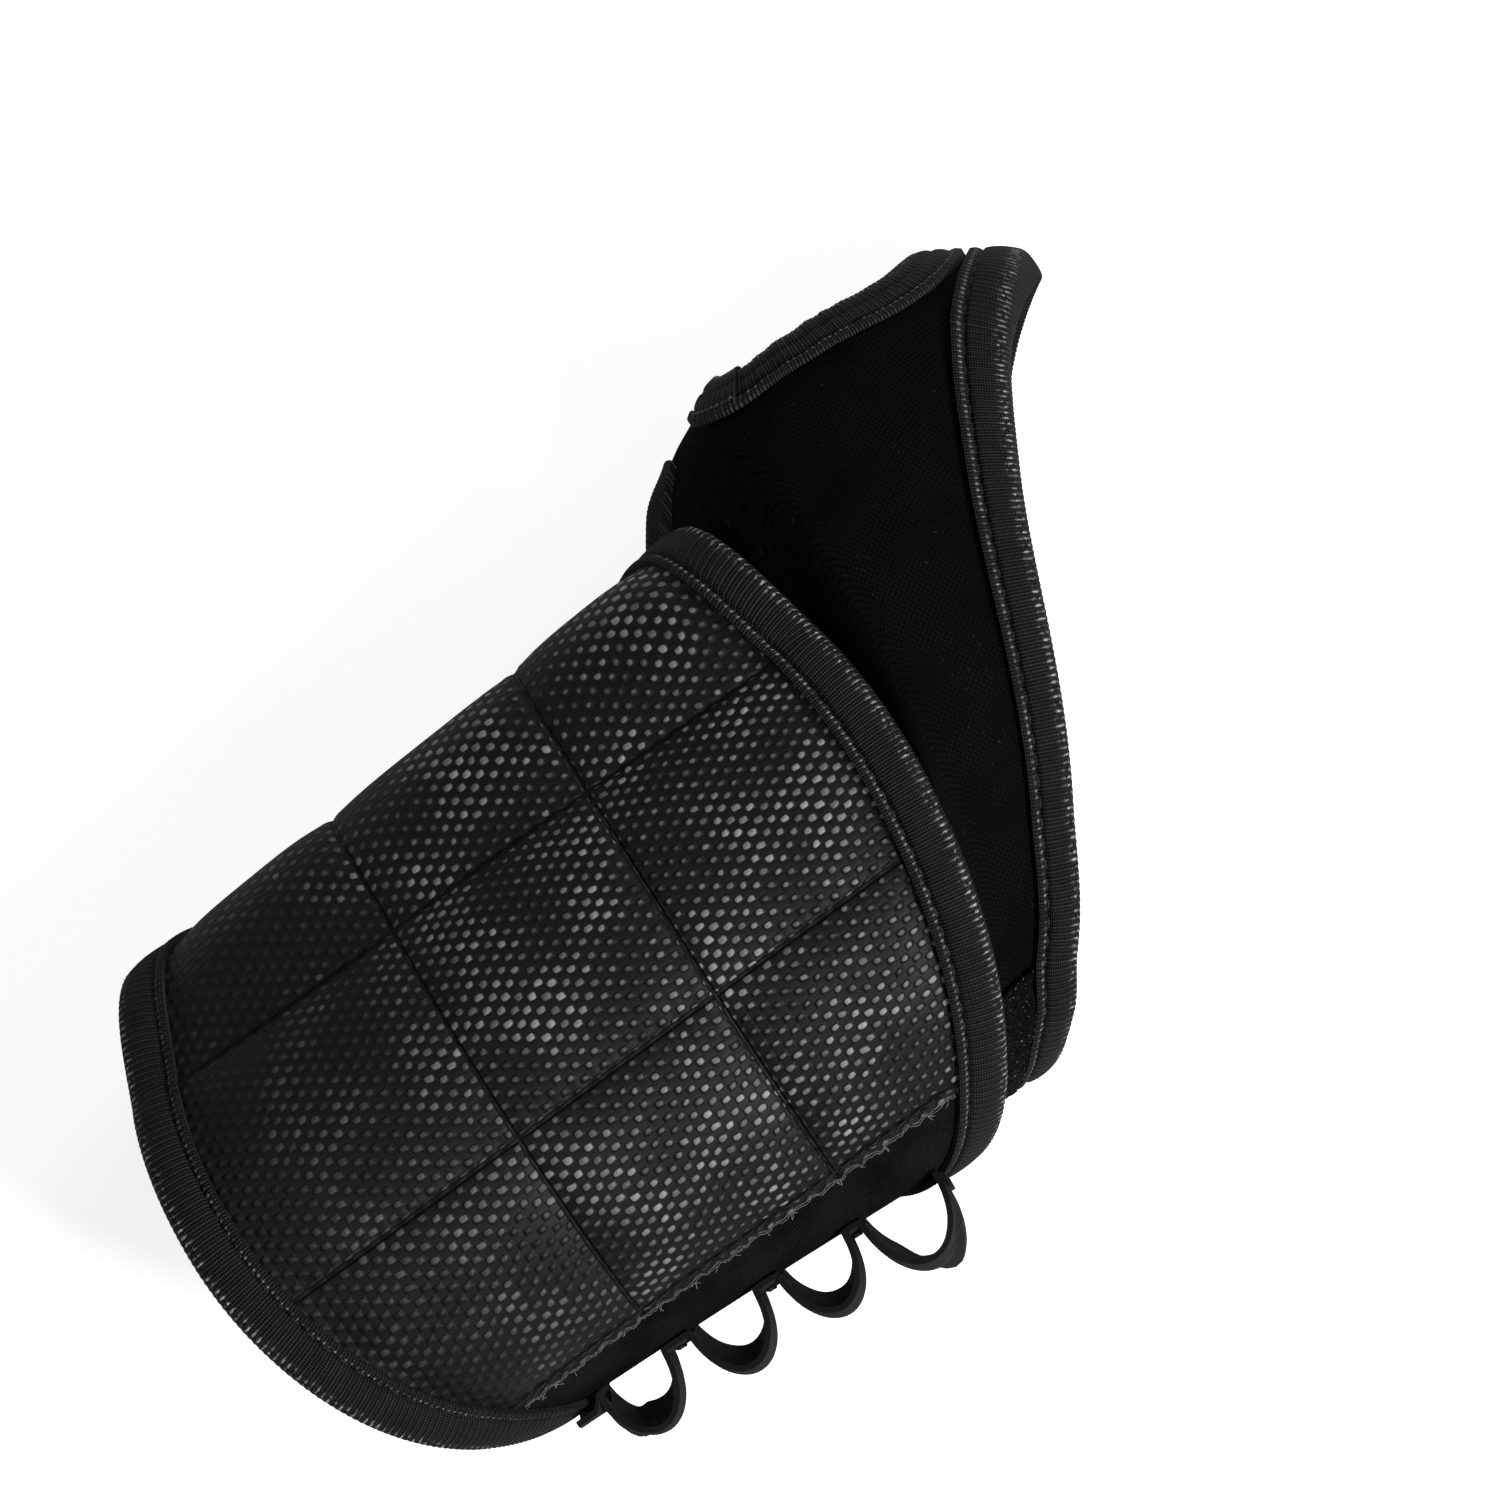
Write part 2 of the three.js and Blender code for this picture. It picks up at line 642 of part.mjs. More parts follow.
function elasticPath() {
  const middle = elastic.thickness / 2;
  const flat = (from, to) => [0, 1 / 4, 1 / 2, 3 / 4].map((share) => (
    new THREE.Vector2(THREE.MathUtils.lerp(from, to, share), middle)
  ));
  const firstFoot = loops[0].at - loops[0].half;
  const points = flat(elastic.start, firstFoot);
  const archSteps = 10;
  loops.forEach(({ at, half, height }) => {
    for (let k = 0; k <= archSteps; k += 1) {
      const angle = Math.PI * (1 - k / archSteps);
      const rise = height * Math.sin(angle);
      points.push(new THREE.Vector2(at + half * Math.cos(angle), middle + rise));
    }
  });
  points.push(new THREE.Vector2(elastic.end, middle));
  return points;
}

function elasticBody() {
  const path = elasticPath();
  const last = path.length - 1;
  const across = 4;
  return gridBody(last, across, (p, q, side) => {
    const index = Math.round(p * last);
    const point = path[index];
    const along = path[Math.min(index + 1, last)].clone().sub(path[Math.max(index - 1, 0)]).normalize();
    const out = new THREE.Vector2(-along.y, along.x);
    const away = (side === 0 ? elastic.thickness : -elastic.thickness) / 2;
    const x = point.x + out.x * away;
    const u = elasticMiddle + (q - 1 / 2) * elastic.width;
    return cuffPlace(u, x, gap + overBinding(u, x) + Math.max(point.y + out.y * away, 0));
  });
}
addPiece(wristband, 'elastic_loop_tape', elasticBody(), finish.elastic());

// Bar tacks that fix the tape between its loops
const tackPlaces = loops.slice(1).map((loop, index) => {
  const before = loops[index];
  return (before.at + before.half + loop.at - loop.half) / 2;
});
tackPlaces.forEach((at, index) => {
  const tack = layerBody({
    surface: cuffPlace,
    uStart: elasticMiddle - barTack.length / 2,
    uEnd: elasticMiddle + barTack.length / 2,
    low: () => at - barTack.width / 2,
    high: () => at + barTack.width / 2,
    outer: 2 * gap + elastic.thickness + barTack.thickness,
    inner: 2 * gap + elastic.thickness,
  });
  addPiece(wristband, `bar_tack_${index + 1}`, tack, finish.thread());
});

// Hand sling with its thumb hole
function slingBody() {
  const columns = steps.slingUnder + steps.slingFlare + steps.slingOut;
  const between = (from, to, count) => Array.from({ length: count }, (_, index) => (
    THREE.MathUtils.lerp(from, to, index / count)
  ));
  return gridBody(steps.slingRound, columns, (p, q, side) => {
    const w = p * slingRound;
    const start = slingStart(stationAt(slingLengths, w));
    const edge = handEdgeAt(w);
    const flareEnd = Math.min(start + sling.flareLength, (start + edge) / 2);
    const xValues = [
      ...between(slingSeam, start, steps.slingUnder),
      ...between(start, flareEnd, steps.slingFlare),
      ...between(flareEnd, edge, steps.slingOut),
      edge,
    ];
    return slingPlace(w, xValues[Math.round(q * columns)], side === 0 ? 0 : -slingThickness);
  }, true);
}

// The thumb hole is centred where the thumb side faces straight out
const thumbMiddle = (() => {
  const section = slingSection(thumbHole.centre);
  const fromPalm = (Math.PI / 2) * section.corner;
  return slingLengths[0] + slingLengths[1] + slingLengths[2] + fromPalm;
})();

function thumbLine(count) {
  return Array.from({ length: count }, (_, index) => {
    const angle = (2 * Math.PI * index) / count;
    return new THREE.Vector2(
      thumbMiddle + thumbHole.halfWidth * Math.sin(angle),
      thumbHole.centre + thumbHole.halfLength * Math.cos(angle),
    );
  });
}

function thumbPlug() {
  const rim = thumbLine(steps.hole);
  const overrun = slingThickness;
  const middle = new THREE.Vector2(thumbMiddle, thumbHole.centre);
  const rings = 2;
  const positions = [];
  const faces = [];
  const levels = [overrun, -slingThickness - overrun];
  levels.forEach((offset) => {
    rim.forEach((point) => positions.push(...slingPlace(point.x, point.y, offset).toArray()));
  });
  levels.forEach((offset) => positions.push(...slingPlace(middle.x, middle.y, offset).toArray()));
  const count = rim.length;
  for (let k = 0; k < count; k += 1) {
    const next = (k + 1) % count;
    faces.push(k, next, count + next, k, count + next, count + k);
    faces.push(next, k, rings * count);
    faces.push(count + k, count + next, rings * count + 1);
  }
  return bodyFrom(positions, faces);
}
addPiece(wristband, 'hand_sling', cutBy(slingBody(), [thumbPlug()]), finish.neoprene());

const slingBinding = { surface: slingPlace, top: 0, bottom: -slingThickness, closed: true };
const handLine = Array.from({ length: steps.slingRound }, (_, index) => {
  const w = slingRound * (1 - index / steps.slingRound);
  return new THREE.Vector2(w, handEdgeAt(w));
});
addPiece(wristband, 'hand_edge_binding', bindingBody({
  ...slingBinding, line: handLine, leaf: handBindingLeaf, round: slingRound,
}), finish.binding());
addPiece(wristband, 'thumb_hole_binding', bindingBody({
  ...slingBinding, line: thumbLine(steps.hole), leaf: thumbHole.leaf,
}), finish.binding());

// Small pile patch on the sling, between the panel's edge and the hand binding
const patchFrom = slingLengths[0] * slingPatchShares.start;
const patchTo = slingLengths[0] + slingLengths[1] * slingPatchShares.end;
addPiece(wristband, 'sling_pile_patch', layerBody({
  surface: slingPlace, uStart: patchFrom, uEnd: patchTo,
  low: (w) => slingStart(stationAt(slingLengths, w)) + gap,
  high: insideEdge(handEdgeAt, 1, handBindingLeaf),
  outer: level.patchOut, inner: gap,
}), finish.pile());

// Closure flap: the quilted end of the wrap that swings open about the seam
const flapStart = -cuff.seamBetweenPanels / 2;
const flapRows = [flapStart, -flap.secondSeam, -flap.length];
const flapPockets = [0, -flap.secondSeam, bindingLeaf + pillow.edgeMargin - flap.length];
const flapLayer = { surface: flapPlace, uStart: flapStart, uEnd: -flap.length, low: flapLow, high: flapHigh };
const flapEdges = {
  low: flapLow, high: flapHigh, insideLow: insideFlapLow, insideHigh: insideFlapHigh,
};
const flapCover = quiltedCover(flapPlace, flapRows, flapPockets, flapEdges);
addPiece(flapGroup, 'flap_nylon', flapCover, finish.nylon());
const flapSeats = addMagnets(flapGroup, flapPlace, -flap.secondSeam / 2, flapEdges, 7);
const flapFoam = layerBody({ ...flapLayer, outer: level.foamOut, inner: level.foamIn });
addPiece(flapGroup, 'flap_foam', cutBy(flapFoam, flapSeats), finish.neoprene());
addPiece(flapGroup, 'flap_lining', layerBody({
  ...flapLayer, outer: level.liningOut, inner: level.liningIn,
}), finish.knit());
addPiece(flapGroup, 'flap_hook', layerBody({
  surface: flapPlace, uStart: -flap.hookStart, uEnd: -flap.hookEnd,
  low: insideEdge(flapLow, -1, bindingLeaf + patchMargin),
  high: insideEdge(flapHigh, 1, bindingLeaf + patchMargin),
  outer: level.hookOut, inner: level.hookIn,
}), finish.hook());

function flapLine() {
  const straight = cuff.seamBetweenPanels / 2;
  const toCorner = flap.length - flap.cornerRadius;
  const high = edgeLine(-straight, -toCorner, flapHigh);
  const cornerSteps = 4;
  const corner = (edge, from, to) => Array.from({ length: cornerSteps }, (_, index) => {
    const angle = THREE.MathUtils.lerp(from, to, (index + 1) / (cornerSteps + 1));
    const u = -toCorner - flap.cornerRadius * Math.sin(angle);
    return new THREE.Vector2(u, edge(u));
  });
  const tip = [0, 1 / 4, 1 / 2, 3 / 4, 1].map((share) => new THREE.Vector2(
    -flap.length,
    THREE.MathUtils.lerp(flapHigh(-flap.length), flapLow(-flap.length), share),
  ));
  const low = edgeLine(-toCorner, -straight, flapLow);
  return [
    ...high,
    ...corner(flapHigh, 0, Math.PI / 2),
    ...tip,
    ...corner(flapLow, Math.PI / 2, 0),
    ...low,
  ];
}
addPiece(flapGroup, 'flap_binding', bindingBody({
  surface: flapPlace, top: 0, bottom: level.liningIn, leaf: bindingLeaf, line: flapLine(),
}), finish.binding());

// Hinge line of the flap, on the outer face of the binding along the seam
const hingeEnds = [-cuff.halfLength, cuff.halfLength].map((x) => cuffPlace(0, x, level.tapeOut));
wristband.userData.flapHinge = {
  point: cuffPlace(0, 0, level.tapeOut),
  axis: hingeEnds[1].clone().sub(hingeEnds[0]).normalize(),
};

export default wristband;
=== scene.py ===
"""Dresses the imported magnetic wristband: woven nylon, ribbed tape, neoprene, knit and thread.

Lengths are in millimetres until a mesh is made, which is in metres as the frame is. The wrap and
the hand sling are two surfaces that take a distance round, a place along the arm and an offset
outward, and every layer, tape, seam and patch is laid on one of them.
"""

import logging
import math
from collections.abc import Callable
from dataclasses import dataclass
from enum import Enum

import bpy
import numpy as np
from mathutils import Matrix, Vector


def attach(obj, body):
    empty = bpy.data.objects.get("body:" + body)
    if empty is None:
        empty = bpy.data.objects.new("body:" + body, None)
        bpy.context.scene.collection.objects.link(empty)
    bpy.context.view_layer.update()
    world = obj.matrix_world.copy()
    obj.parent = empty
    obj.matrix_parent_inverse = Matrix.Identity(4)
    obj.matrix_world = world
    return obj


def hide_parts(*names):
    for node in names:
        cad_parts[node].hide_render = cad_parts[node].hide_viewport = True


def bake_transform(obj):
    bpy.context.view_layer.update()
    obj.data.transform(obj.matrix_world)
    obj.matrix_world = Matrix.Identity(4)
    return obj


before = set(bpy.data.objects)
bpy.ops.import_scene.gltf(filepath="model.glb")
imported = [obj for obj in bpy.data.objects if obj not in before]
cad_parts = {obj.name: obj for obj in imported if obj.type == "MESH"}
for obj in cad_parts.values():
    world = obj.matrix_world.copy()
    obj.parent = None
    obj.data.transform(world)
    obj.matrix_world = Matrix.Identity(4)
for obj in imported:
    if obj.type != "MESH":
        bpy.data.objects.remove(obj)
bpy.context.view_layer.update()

Array = np.ndarray
Socket = bpy.types.NodeSocket
Along = Callable[[Array], Array]
Place = Callable[[Array, Array, Array], Array]

MM = 0.001
SMOOTH_ANGLE = math.radians(50.0)

log = logging.getLogger("wristband")


def ease(share: Array) -> Array:
    """Smooth step from 0 to 1.

    Args:
        share: Values, clamped to 0 and 1.

    Returns:
        The eased values.
    """
    clamped = np.clip(share, 0.0, 1.0)
    return clamped * clamped * (3.0 - 2.0 * clamped)


def mix(start: Array, end: Array, share: Array) -> Array:
    """Straight blend of two values."""
    return start + (end - start) * share


def travelled(points: Array) -> Array:
    """Distance along a line to each of its points.

    Args:
        points: The points, in a surface's two coordinates or in space.

    Returns:
        The distances, from 0.
    """
    steps = np.diff(points, axis=0)
    lengths = np.hypot(*steps.T) if steps.shape[1] == 2 else np.linalg.norm(steps, axis=1)
    return np.concatenate([[0.0], np.cumsum(lengths)])


class Body(Enum):
    """The two bodies that pieces ride on."""

    CUFF = "cuff"
    CLOSURE = "closure"


@dataclass(frozen=True)
class Layers:
    """Thicknesses of the wrap, and the offsets of its layers from the cover's outer face."""

    gap: float = 0.3
    cover: float = 0.7
    foam: float = 2.6
    lining: float = 0.7
    tape: float = 0.8
    seat: float = 0.4
    patch: float = 0.9
    sling: float = 2.5

    @property
    def foam_out(self) -> float:
        """Outer face of the foam."""
        return -self.cover - self.gap

    @property
    def foam_in(self) -> float:
        """Inner face of the foam."""
        return self.foam_out - self.foam

    @property
    def lining_out(self) -> float:
        """Outer face of the lining."""
        return self.foam_in - self.gap

    @property
    def lining_in(self) -> float:
        """Inner face of the lining."""
        return self.lining_out - self.lining

    @property
    def tape_out(self) -> float:
        """Outer face of the tape over the cover."""
        return self.seat + self.tape

    @property
    def tape_in(self) -> float:
        """Inner face of the tape under the lining."""
        return self.lining_in - self.tape_out

    @property
    def flap_rise(self) -> float:
        """How far the closed flap stands off the wrap under it."""
        return self.tape_out + self.gap - self.tape_in


LAYERS = Layers()


@dataclass(frozen=True)
class Section:
    """Cross-section of four tangent stretches: back arc, finger side, palm flat and thumb side."""

    ulnar: Array
    radial: Array
    bottom: float
    top: Array
    corner: float

    def lengths(self) -> Array:
        """Lengths of the four stretches, for a section of plain numbers."""
        half, turn, radius = self.arc()
        side = self.corner * (math.pi - turn)
        return np.array([2.0 * radius * turn, side, 2.0 * half, side], float)

    def arc(self) -> tuple[Array, Array, Array]:
        """Half width, half angle and radius of the back arc."""
        half = (self.radial + self.ulnar) / 2.0 - self.corner
        crown = self.top - self.bottom - 2.0 * self.corner
        centres = (half * half + crown * crown) / (2.0 * crown)
        return half, np.arctan2(half, centres - crown), centres + self.corner

    def point(self, station: Array, offset: Array) -> tuple[Array, Array]:
        """Point of the section.

        Args:
            station: Place round the section from 0 to 4, one for each stretch.
            offset: Distance outward.

        Returns:
            The two coordinates across the arm, towards the thumb and upward.
        """
        half, turn, radius = self.arc()
        y_ulnar = self.corner - self.ulnar
        y_radial = self.radial - self.corner
        z_side = self.bottom + self.corner
        stretch = np.floor(station) % 4
        share = station - np.floor(station)
        back = turn * (1.0 - 2.0 * share)
        z_back = self.top - radius
        from_back = np.where(stretch == 1, share, 1.0 - share)
        angle = mix(turn, math.pi, from_back)
        side = np.where(stretch == 1, -1.0, 1.0)
        centre = np.where(stretch == 1, y_ulnar, y_radial)
        y_flat = mix(y_ulnar, y_radial, share)
        y_round = centre + side * (self.corner + offset) * np.sin(angle)
        z_round = z_side + (self.corner + offset) * np.cos(angle)
        y_arc = (y_radial + y_ulnar) / 2.0 + (radius + offset) * np.sin(back)
        z_arc = z_back + (radius + offset) * np.cos(back)
        y = np.where(stretch == 0, y_arc, np.where(stretch == 2, y_flat, y_round))
        z = np.where(stretch == 0, z_arc, np.where(stretch == 2, self.bottom - offset, z_round))
        return y, z


def station_at(lengths: Array, distance: Array) -> Array:
    """Station from 0 to 4 of a distance round a section."""
    marks = np.concatenate([[0.0], np.cumsum(lengths)])
    found = np.interp(np.mod(distance, marks[-1]), marks, np.arange(5.0))
    return np.minimum(found, 4.0 - 1e-9)


@dataclass(frozen=True)
class WristSurface:
    """Ruled surface of the wrap. u is the distance round from the hinge seam, over the back."""

    half_length: float = 52.0
    ulnar_reach: float = 42.0
    radial_reach: float = 30.9
    flare_share: float = 0.107
    height: float = 56.1
    side_radius: float = 25.0
    hinge_inset: float = 4.4
    flap_ramp: float = 20.0
    sway: float = 0.22

    def section(self, x: float) -> Section:
        """Section at one place along the arm."""
        radial = self.radial_reach + self.flare_share * x
        return Section(self.ulnar_reach, radial, LAYERS.tape_out, self.height, self.side_radius)

    def lengths(self) -> Array:
        """Lengths of the middle section's stretches."""
        return self.section(0.0).lengths()

    def round(self) -> float:
        """Distance once round the middle section."""
        return float(self.lengths().sum())

    def at_station(self, station: Array, x: Array, offset: Array) -> Array:
        """Points of the surface by station, place along the arm and offset."""
        share = (x + self.half_length) / (2.0 * self.half_length)
        near = self.section(-self.half_length).point(station, offset)
        far = self.section(self.half_length).point(station, offset)
        return np.stack([x + 0.0 * share, mix(near[0], far[0], share), mix(near[1], far[1], share)], -1)

    def unevenness(self, station: Array, x: Array) -> Array:
        """Slow waves that sewn cloth has, fading out on the flat palm side."""
        shown = np.interp(station, [0.0, 1.0, 1.6, 3.3, 4.0], [1.0, 1.0, 0.0, 0.0, 1.0])
        round_share = station * math.pi / 2.0
        waves = np.sin(3.0 * round_share + x / 15.0) + 0.7 * np.sin(5.0 * round_share - x / 9.0 + 1.3)
        return self.sway * shown * waves

    def place(self, u: Array, x: Array, offset: Array) -> Array:
        """Points of the wrap."""
        station = station_at(self.lengths(), np.asarray(u) + self.hinge_inset)
        return self.at_station(station, np.asarray(x), offset + self.unevenness(station, x))

    def lift(self, u: Array) -> Array:
        """How far the closed flap rises over the wrap's tail, from the seam on."""
        return LAYERS.flap_rise * ease(-np.asarray(u) / self.flap_ramp)

    def place_flap(self, u: Array, x: Array, offset: Array) -> Array:
        """Points of the flap, for negative distances round."""
        return self.place(u, x, offset + self.lift(u))


WRIST = WristSurface()


@dataclass(frozen=True)
class LongEdge:
    """Curved long edge of the wrap: two arcs that level off under the palm."""

    reach: float
    centre: float
    ulnar_arc: float
    radial_arc: float
    level_drop: float
    blend: float = 12.0

    def at(self, u: Array) -> Array:
        """Place along the arm of the edge."""
        away = np.asarray(u, float) - self.centre
        arc = np.where(away > 0.0, self.ulnar_arc, self.radial_arc)
        drop = away * away / (2.0 * arc)
        near = np.maximum(self.blend - np.abs(drop - self.level_drop), 0.0) / self.blend
        drop = np.minimum(drop, self.level_drop) - near * near * self.blend / 4.0
        return self.reach - math.copysign(1.0, self.reach) * drop


DISTAL = LongEdge(reach=51.9, centre=15.6, ulnar_arc=102.0, radial_arc=85.0, level_drop=31.0)
PROXIMAL = LongEdge(reach=-52.0, centre=20.2, ulnar_arc=59.0, radial_arc=90.0, level_drop=25.0)


@dataclass(frozen=True)
class FlapShape:
    """Closure flap: its free end has two rounded corners."""

    length: float = 44.0
    second_seam: float = 24.6
    corner: float = 12.0
    hook_start: float = 26.0
    hook_end: float = 37.0

    def corner_loss(self, u: Array) -> Array:
        """How far the rounded corner cuts the edge back."""
        into = np.clip(self.corner - (self.length + np.asarray(u)), 0.0, self.corner)
        return self.corner - np.sqrt(self.corner**2 - into**2)

    def high(self, u: Array) -> Array:
        """Edge towards the hand."""
        return DISTAL.at(u) - self.corner_loss(u)

    def low(self, u: Array) -> Array:
        """Edge towards the elbow."""
        return PROXIMAL.at(u) + self.corner_loss(u)


FLAP = FlapShape()


def inside(edge: Along, side: float, leaf: float) -> Along:
    """Line just inside a tape's leaf, whose width is measured square to the edge.

    Args:
        edge: The edge line.
        side: 1 for an edge towards the hand, -1 for one towards the elbow.
        leaf: Width of the leaf.

    Returns:
        The line, as a function of the distance round.
    """
    step = LAYERS.gap

    def line(u: Array) -> Array:
        slope = (edge(np.asarray(u) + step) - edge(np.asarray(u) - step)) / (2.0 * step)
        return edge(u) - side * (leaf + step) * np.hypot(1.0, slope)

    return line


@dataclass(frozen=True)
class HandSurface:
    """Surface of the hand sling: it leaves the wrap from below and flares to the hand."""

    thumb_reach: float = 59.0
    thumb_station: float = 72.0
    thumb_arc: float = 39.0
    palm_height: float = 4.1
    back_drop: float = 4.0
    back_drop_length: float = 50.0
    side_radius: float = 19.0
    flare_length: float = 7.0
    lag_share: float = 0.5
    waist_x: float = 77.3
    waist_y: float = 13.0
    slope_share: float = 0.42
    radial_flick: float = 81.6
    ulnar_flick: float = 111.8
    sway: float = 0.3
    ulnar_swell: float = 2.2
    swell_length: float = 9.0
    trims: tuple = (
        (-26.0, 0.0), (2.0, -1.6), (20.0, -1.13), (60.0, -0.31), (75.0, 1.2), (83.0, 2.4), (89.0, 2.3),
        (96.0, 1.4), (124.0, 0.0),
    )

    def under(self) -> float:
        """Offset of the sling's outer face where it lies under the wrap."""
        return LAYERS.tape_in - LAYERS.gap

    def seam(self) -> float:
        """Place along the arm of the sling's inner edge."""
        return DISTAL.reach - DISTAL.level_drop + LAYERS.tape_out + 2.0 * LAYERS.gap

    def section(self, x: Array) -> Section:
        """Sections at places along the arm."""
        radial = self.thumb_reach - (x - self.thumb_station) ** 2 / (2.0 * self.thumb_arc)
        drop = self.back_drop * ease((x - DISTAL.reach) / self.back_drop_length)
        top = WRIST.height + self.under() - drop
        return Section(WRIST.ulnar_reach + self.under(), radial, self.palm_height, top, self.side_radius)

    def lengths(self) -> Array:
        """Lengths of the widest section's stretches."""
        return self.section(self.thumb_station).lengths()

    def round(self) -> float:
        """Distance once round the widest section."""
        return float(self.lengths().sum())

    def wrap_distance(self, station: Array) -> Array:
        """Distance round the wrap from its hinge seam, the short way round."""
        marks = np.concatenate([[0.0], np.cumsum(WRIST.lengths())])
        u = np.interp(station, np.arange(5.0), marks) - WRIST.hinge_inset
        far_side = DISTAL.centre + WRIST.round() / 2.0
        return np.where(u > far_side, u - WRIST.round(), u)

    def start(self, station: Array) -> Array:
        """Where the sling comes out from under the wrap's edge."""
        return DISTAL.at(self.wrap_distance(station)) + LAYERS.tape_out + LAYERS.gap

    def level(self, station: Array) -> Array:
        """Offset from the wrap of the sling's outer face, at the palm and under the flap."""
        palm = LAYERS.tape_out - self.palm_height
        lifted = self.under() + WRIST.lift(self.wrap_distance(station))
        to_palm = mix(self.under(), palm, ease((station - 1.6) / 0.4))
        to_thumb = mix(palm, lifted, ease((station - 3.0) / 0.4))
        return np.where(station < 1.0, lifted, np.where(station < 3.0, to_palm, to_thumb))

    def place(self, w: Array, x: Array, offset: Array) -> Array:
        """Points of the sling.

        Args:
            w: Distance round from the section's first corner, over the back.
            x: Place along the arm.
            offset: Distance outward.

        Returns:
            The points in space.
        """
        w, x = np.broadcast_arrays(np.asarray(w, float), np.asarray(x, float))
        station = station_at(self.lengths(), w)
        start = self.start(station)
        shown = np.interp(station, [0.0, 1.2, 1.8, 3.1, 3.5, 4.0], [1.0, 1.0, 0.0, 0.0, 1.0, 1.0])
        shown = shown * ease((x - start) / 12.0)
        waves = np.sin(math.pi * station + x / 9.0)
        waves = waves + 0.6 * np.sin(1.5 * math.pi * station - x / 6.0 + 0.8)
        turned = np.sin(math.pi * np.clip((station - 0.95) / 1.05, 0.0, 1.0)) ** 2
        swell = self.ulnar_swell * turned * ease((x - start) / self.swell_length)
        offset = offset + self.sway * shown * waves + swell
        y_hand, z_hand = self.section(x).point(station, offset)
        under = WRIST.at_station(station, x, self.level(station) + offset)
        past = np.clip((x + self.lag_share * offset - start) / self.flare_length, 0.0, 1.0)
        share = 1.0 - (1.0 - past) ** 3
        return np.stack([x, mix(under[..., 1], y_hand, share), mix(under[..., 2], z_hand, share)], -1)

    def hand_edge(self, w: Array) -> Array:
        """Place along the arm of the oblique hand edge."""
        x = np.full_like(np.asarray(w, float), self.waist_x)
        for _ in range(36):
            away = self.place(w, x, np.zeros_like(x))[..., 1] - self.waist_y
            flick = np.where(away > 0.0, self.radial_flick, self.ulnar_flick)
            x = (x + self.waist_x + self.slope_share * away + away**3 / flick**2) / 2.0
        return x + self.trim(w)

    def trim(self, w: Array) -> Array:
        """How much further along the arm the edge lies than its plain curve, by distance round."""
        marks, moves = np.array(self.trims).T
        half = self.round() / 2.0
        near = np.clip(np.mod(np.asarray(w, float) + half, 2.0 * half) - half, marks[0], marks[-1])
        span = np.clip(np.searchsorted(marks, near) - 1, 0, len(marks) - 2)
        share = (near - marks[span]) / (marks[span + 1] - marks[span])
        return mix(moves[span], moves[span + 1], ease(share))


HAND = HandSurface()


@dataclass(frozen=True)
class ThumbHole:
    """Hole of the sling, which the thumb goes through, with a blunt near end."""

    centre: float = 71.5
    half_length: float = 17.0
    half_width: float = 12.5
    leaf: float = 5.0
    rim_marks: int = 720
    shares: tuple = (
        (0.0, 1.0), (0.5, 0.865), (0.865, 0.5), (1.0, 0.0), (1.0, -0.3), (0.92, -0.62), (0.62, -0.8),
        (0.22, -0.8), (-0.18, -0.8), (-0.54, -0.73), (-0.82, -0.53), (-0.97, -0.26), (-1.0, 0.0),
        (-0.865, 0.5), (-0.5, 0.865),
    )

    def middle(self) -> float:
        """Distance round the sling of the hole's middle."""
        return float(HAND.lengths()[:3].sum() + math.pi / 2.0 * HAND.side_radius)

    def rim(self, count: int) -> Array:
        """Rim about the hole's middle, as a smooth closed line through the shares.

        Args:
            count: Number of points.

        Returns:
            The points, round the sling and along the arm.
        """
        marks = np.array(self.shares) * [self.half_width, self.half_length]
        at = np.arange(count) * len(marks) / count
        index, share = np.floor(at).astype(int), (at - np.floor(at))[:, None]
        before, start, end, after = (marks[(index + k) % len(marks)] for k in (-1, 0, 1, 2))
        bend = 2.0 * before - 5.0 * start + 4.0 * end - after
        turn = 3.0 * (start - end) + after - before
        return 0.5 * (2.0 * start + (end - before) * share + bend * share**2 + turn * share**3)

    def line(self, count: int) -> Array:
        """Rim in the sling's two coordinates."""
        return self.rim(count) + [self.middle(), self.centre]

    def away(self, w: Array, x: Array) -> Array:
        """Distance from the hole's middle, 1 on its rim."""
        rim = self.rim(self.rim_marks)
        angle = np.arctan2(rim[:, 0], rim[:, 1])
        order = np.argsort(angle)
        radius = np.hypot(*rim[order].T)
        around, along = w - self.middle(), x - self.centre
        here = np.interp(np.arctan2(around, along), angle[order], radius, period=2.0 * math.pi)
        return np.hypot(around, along) / here


HOLE = ThumbHole()


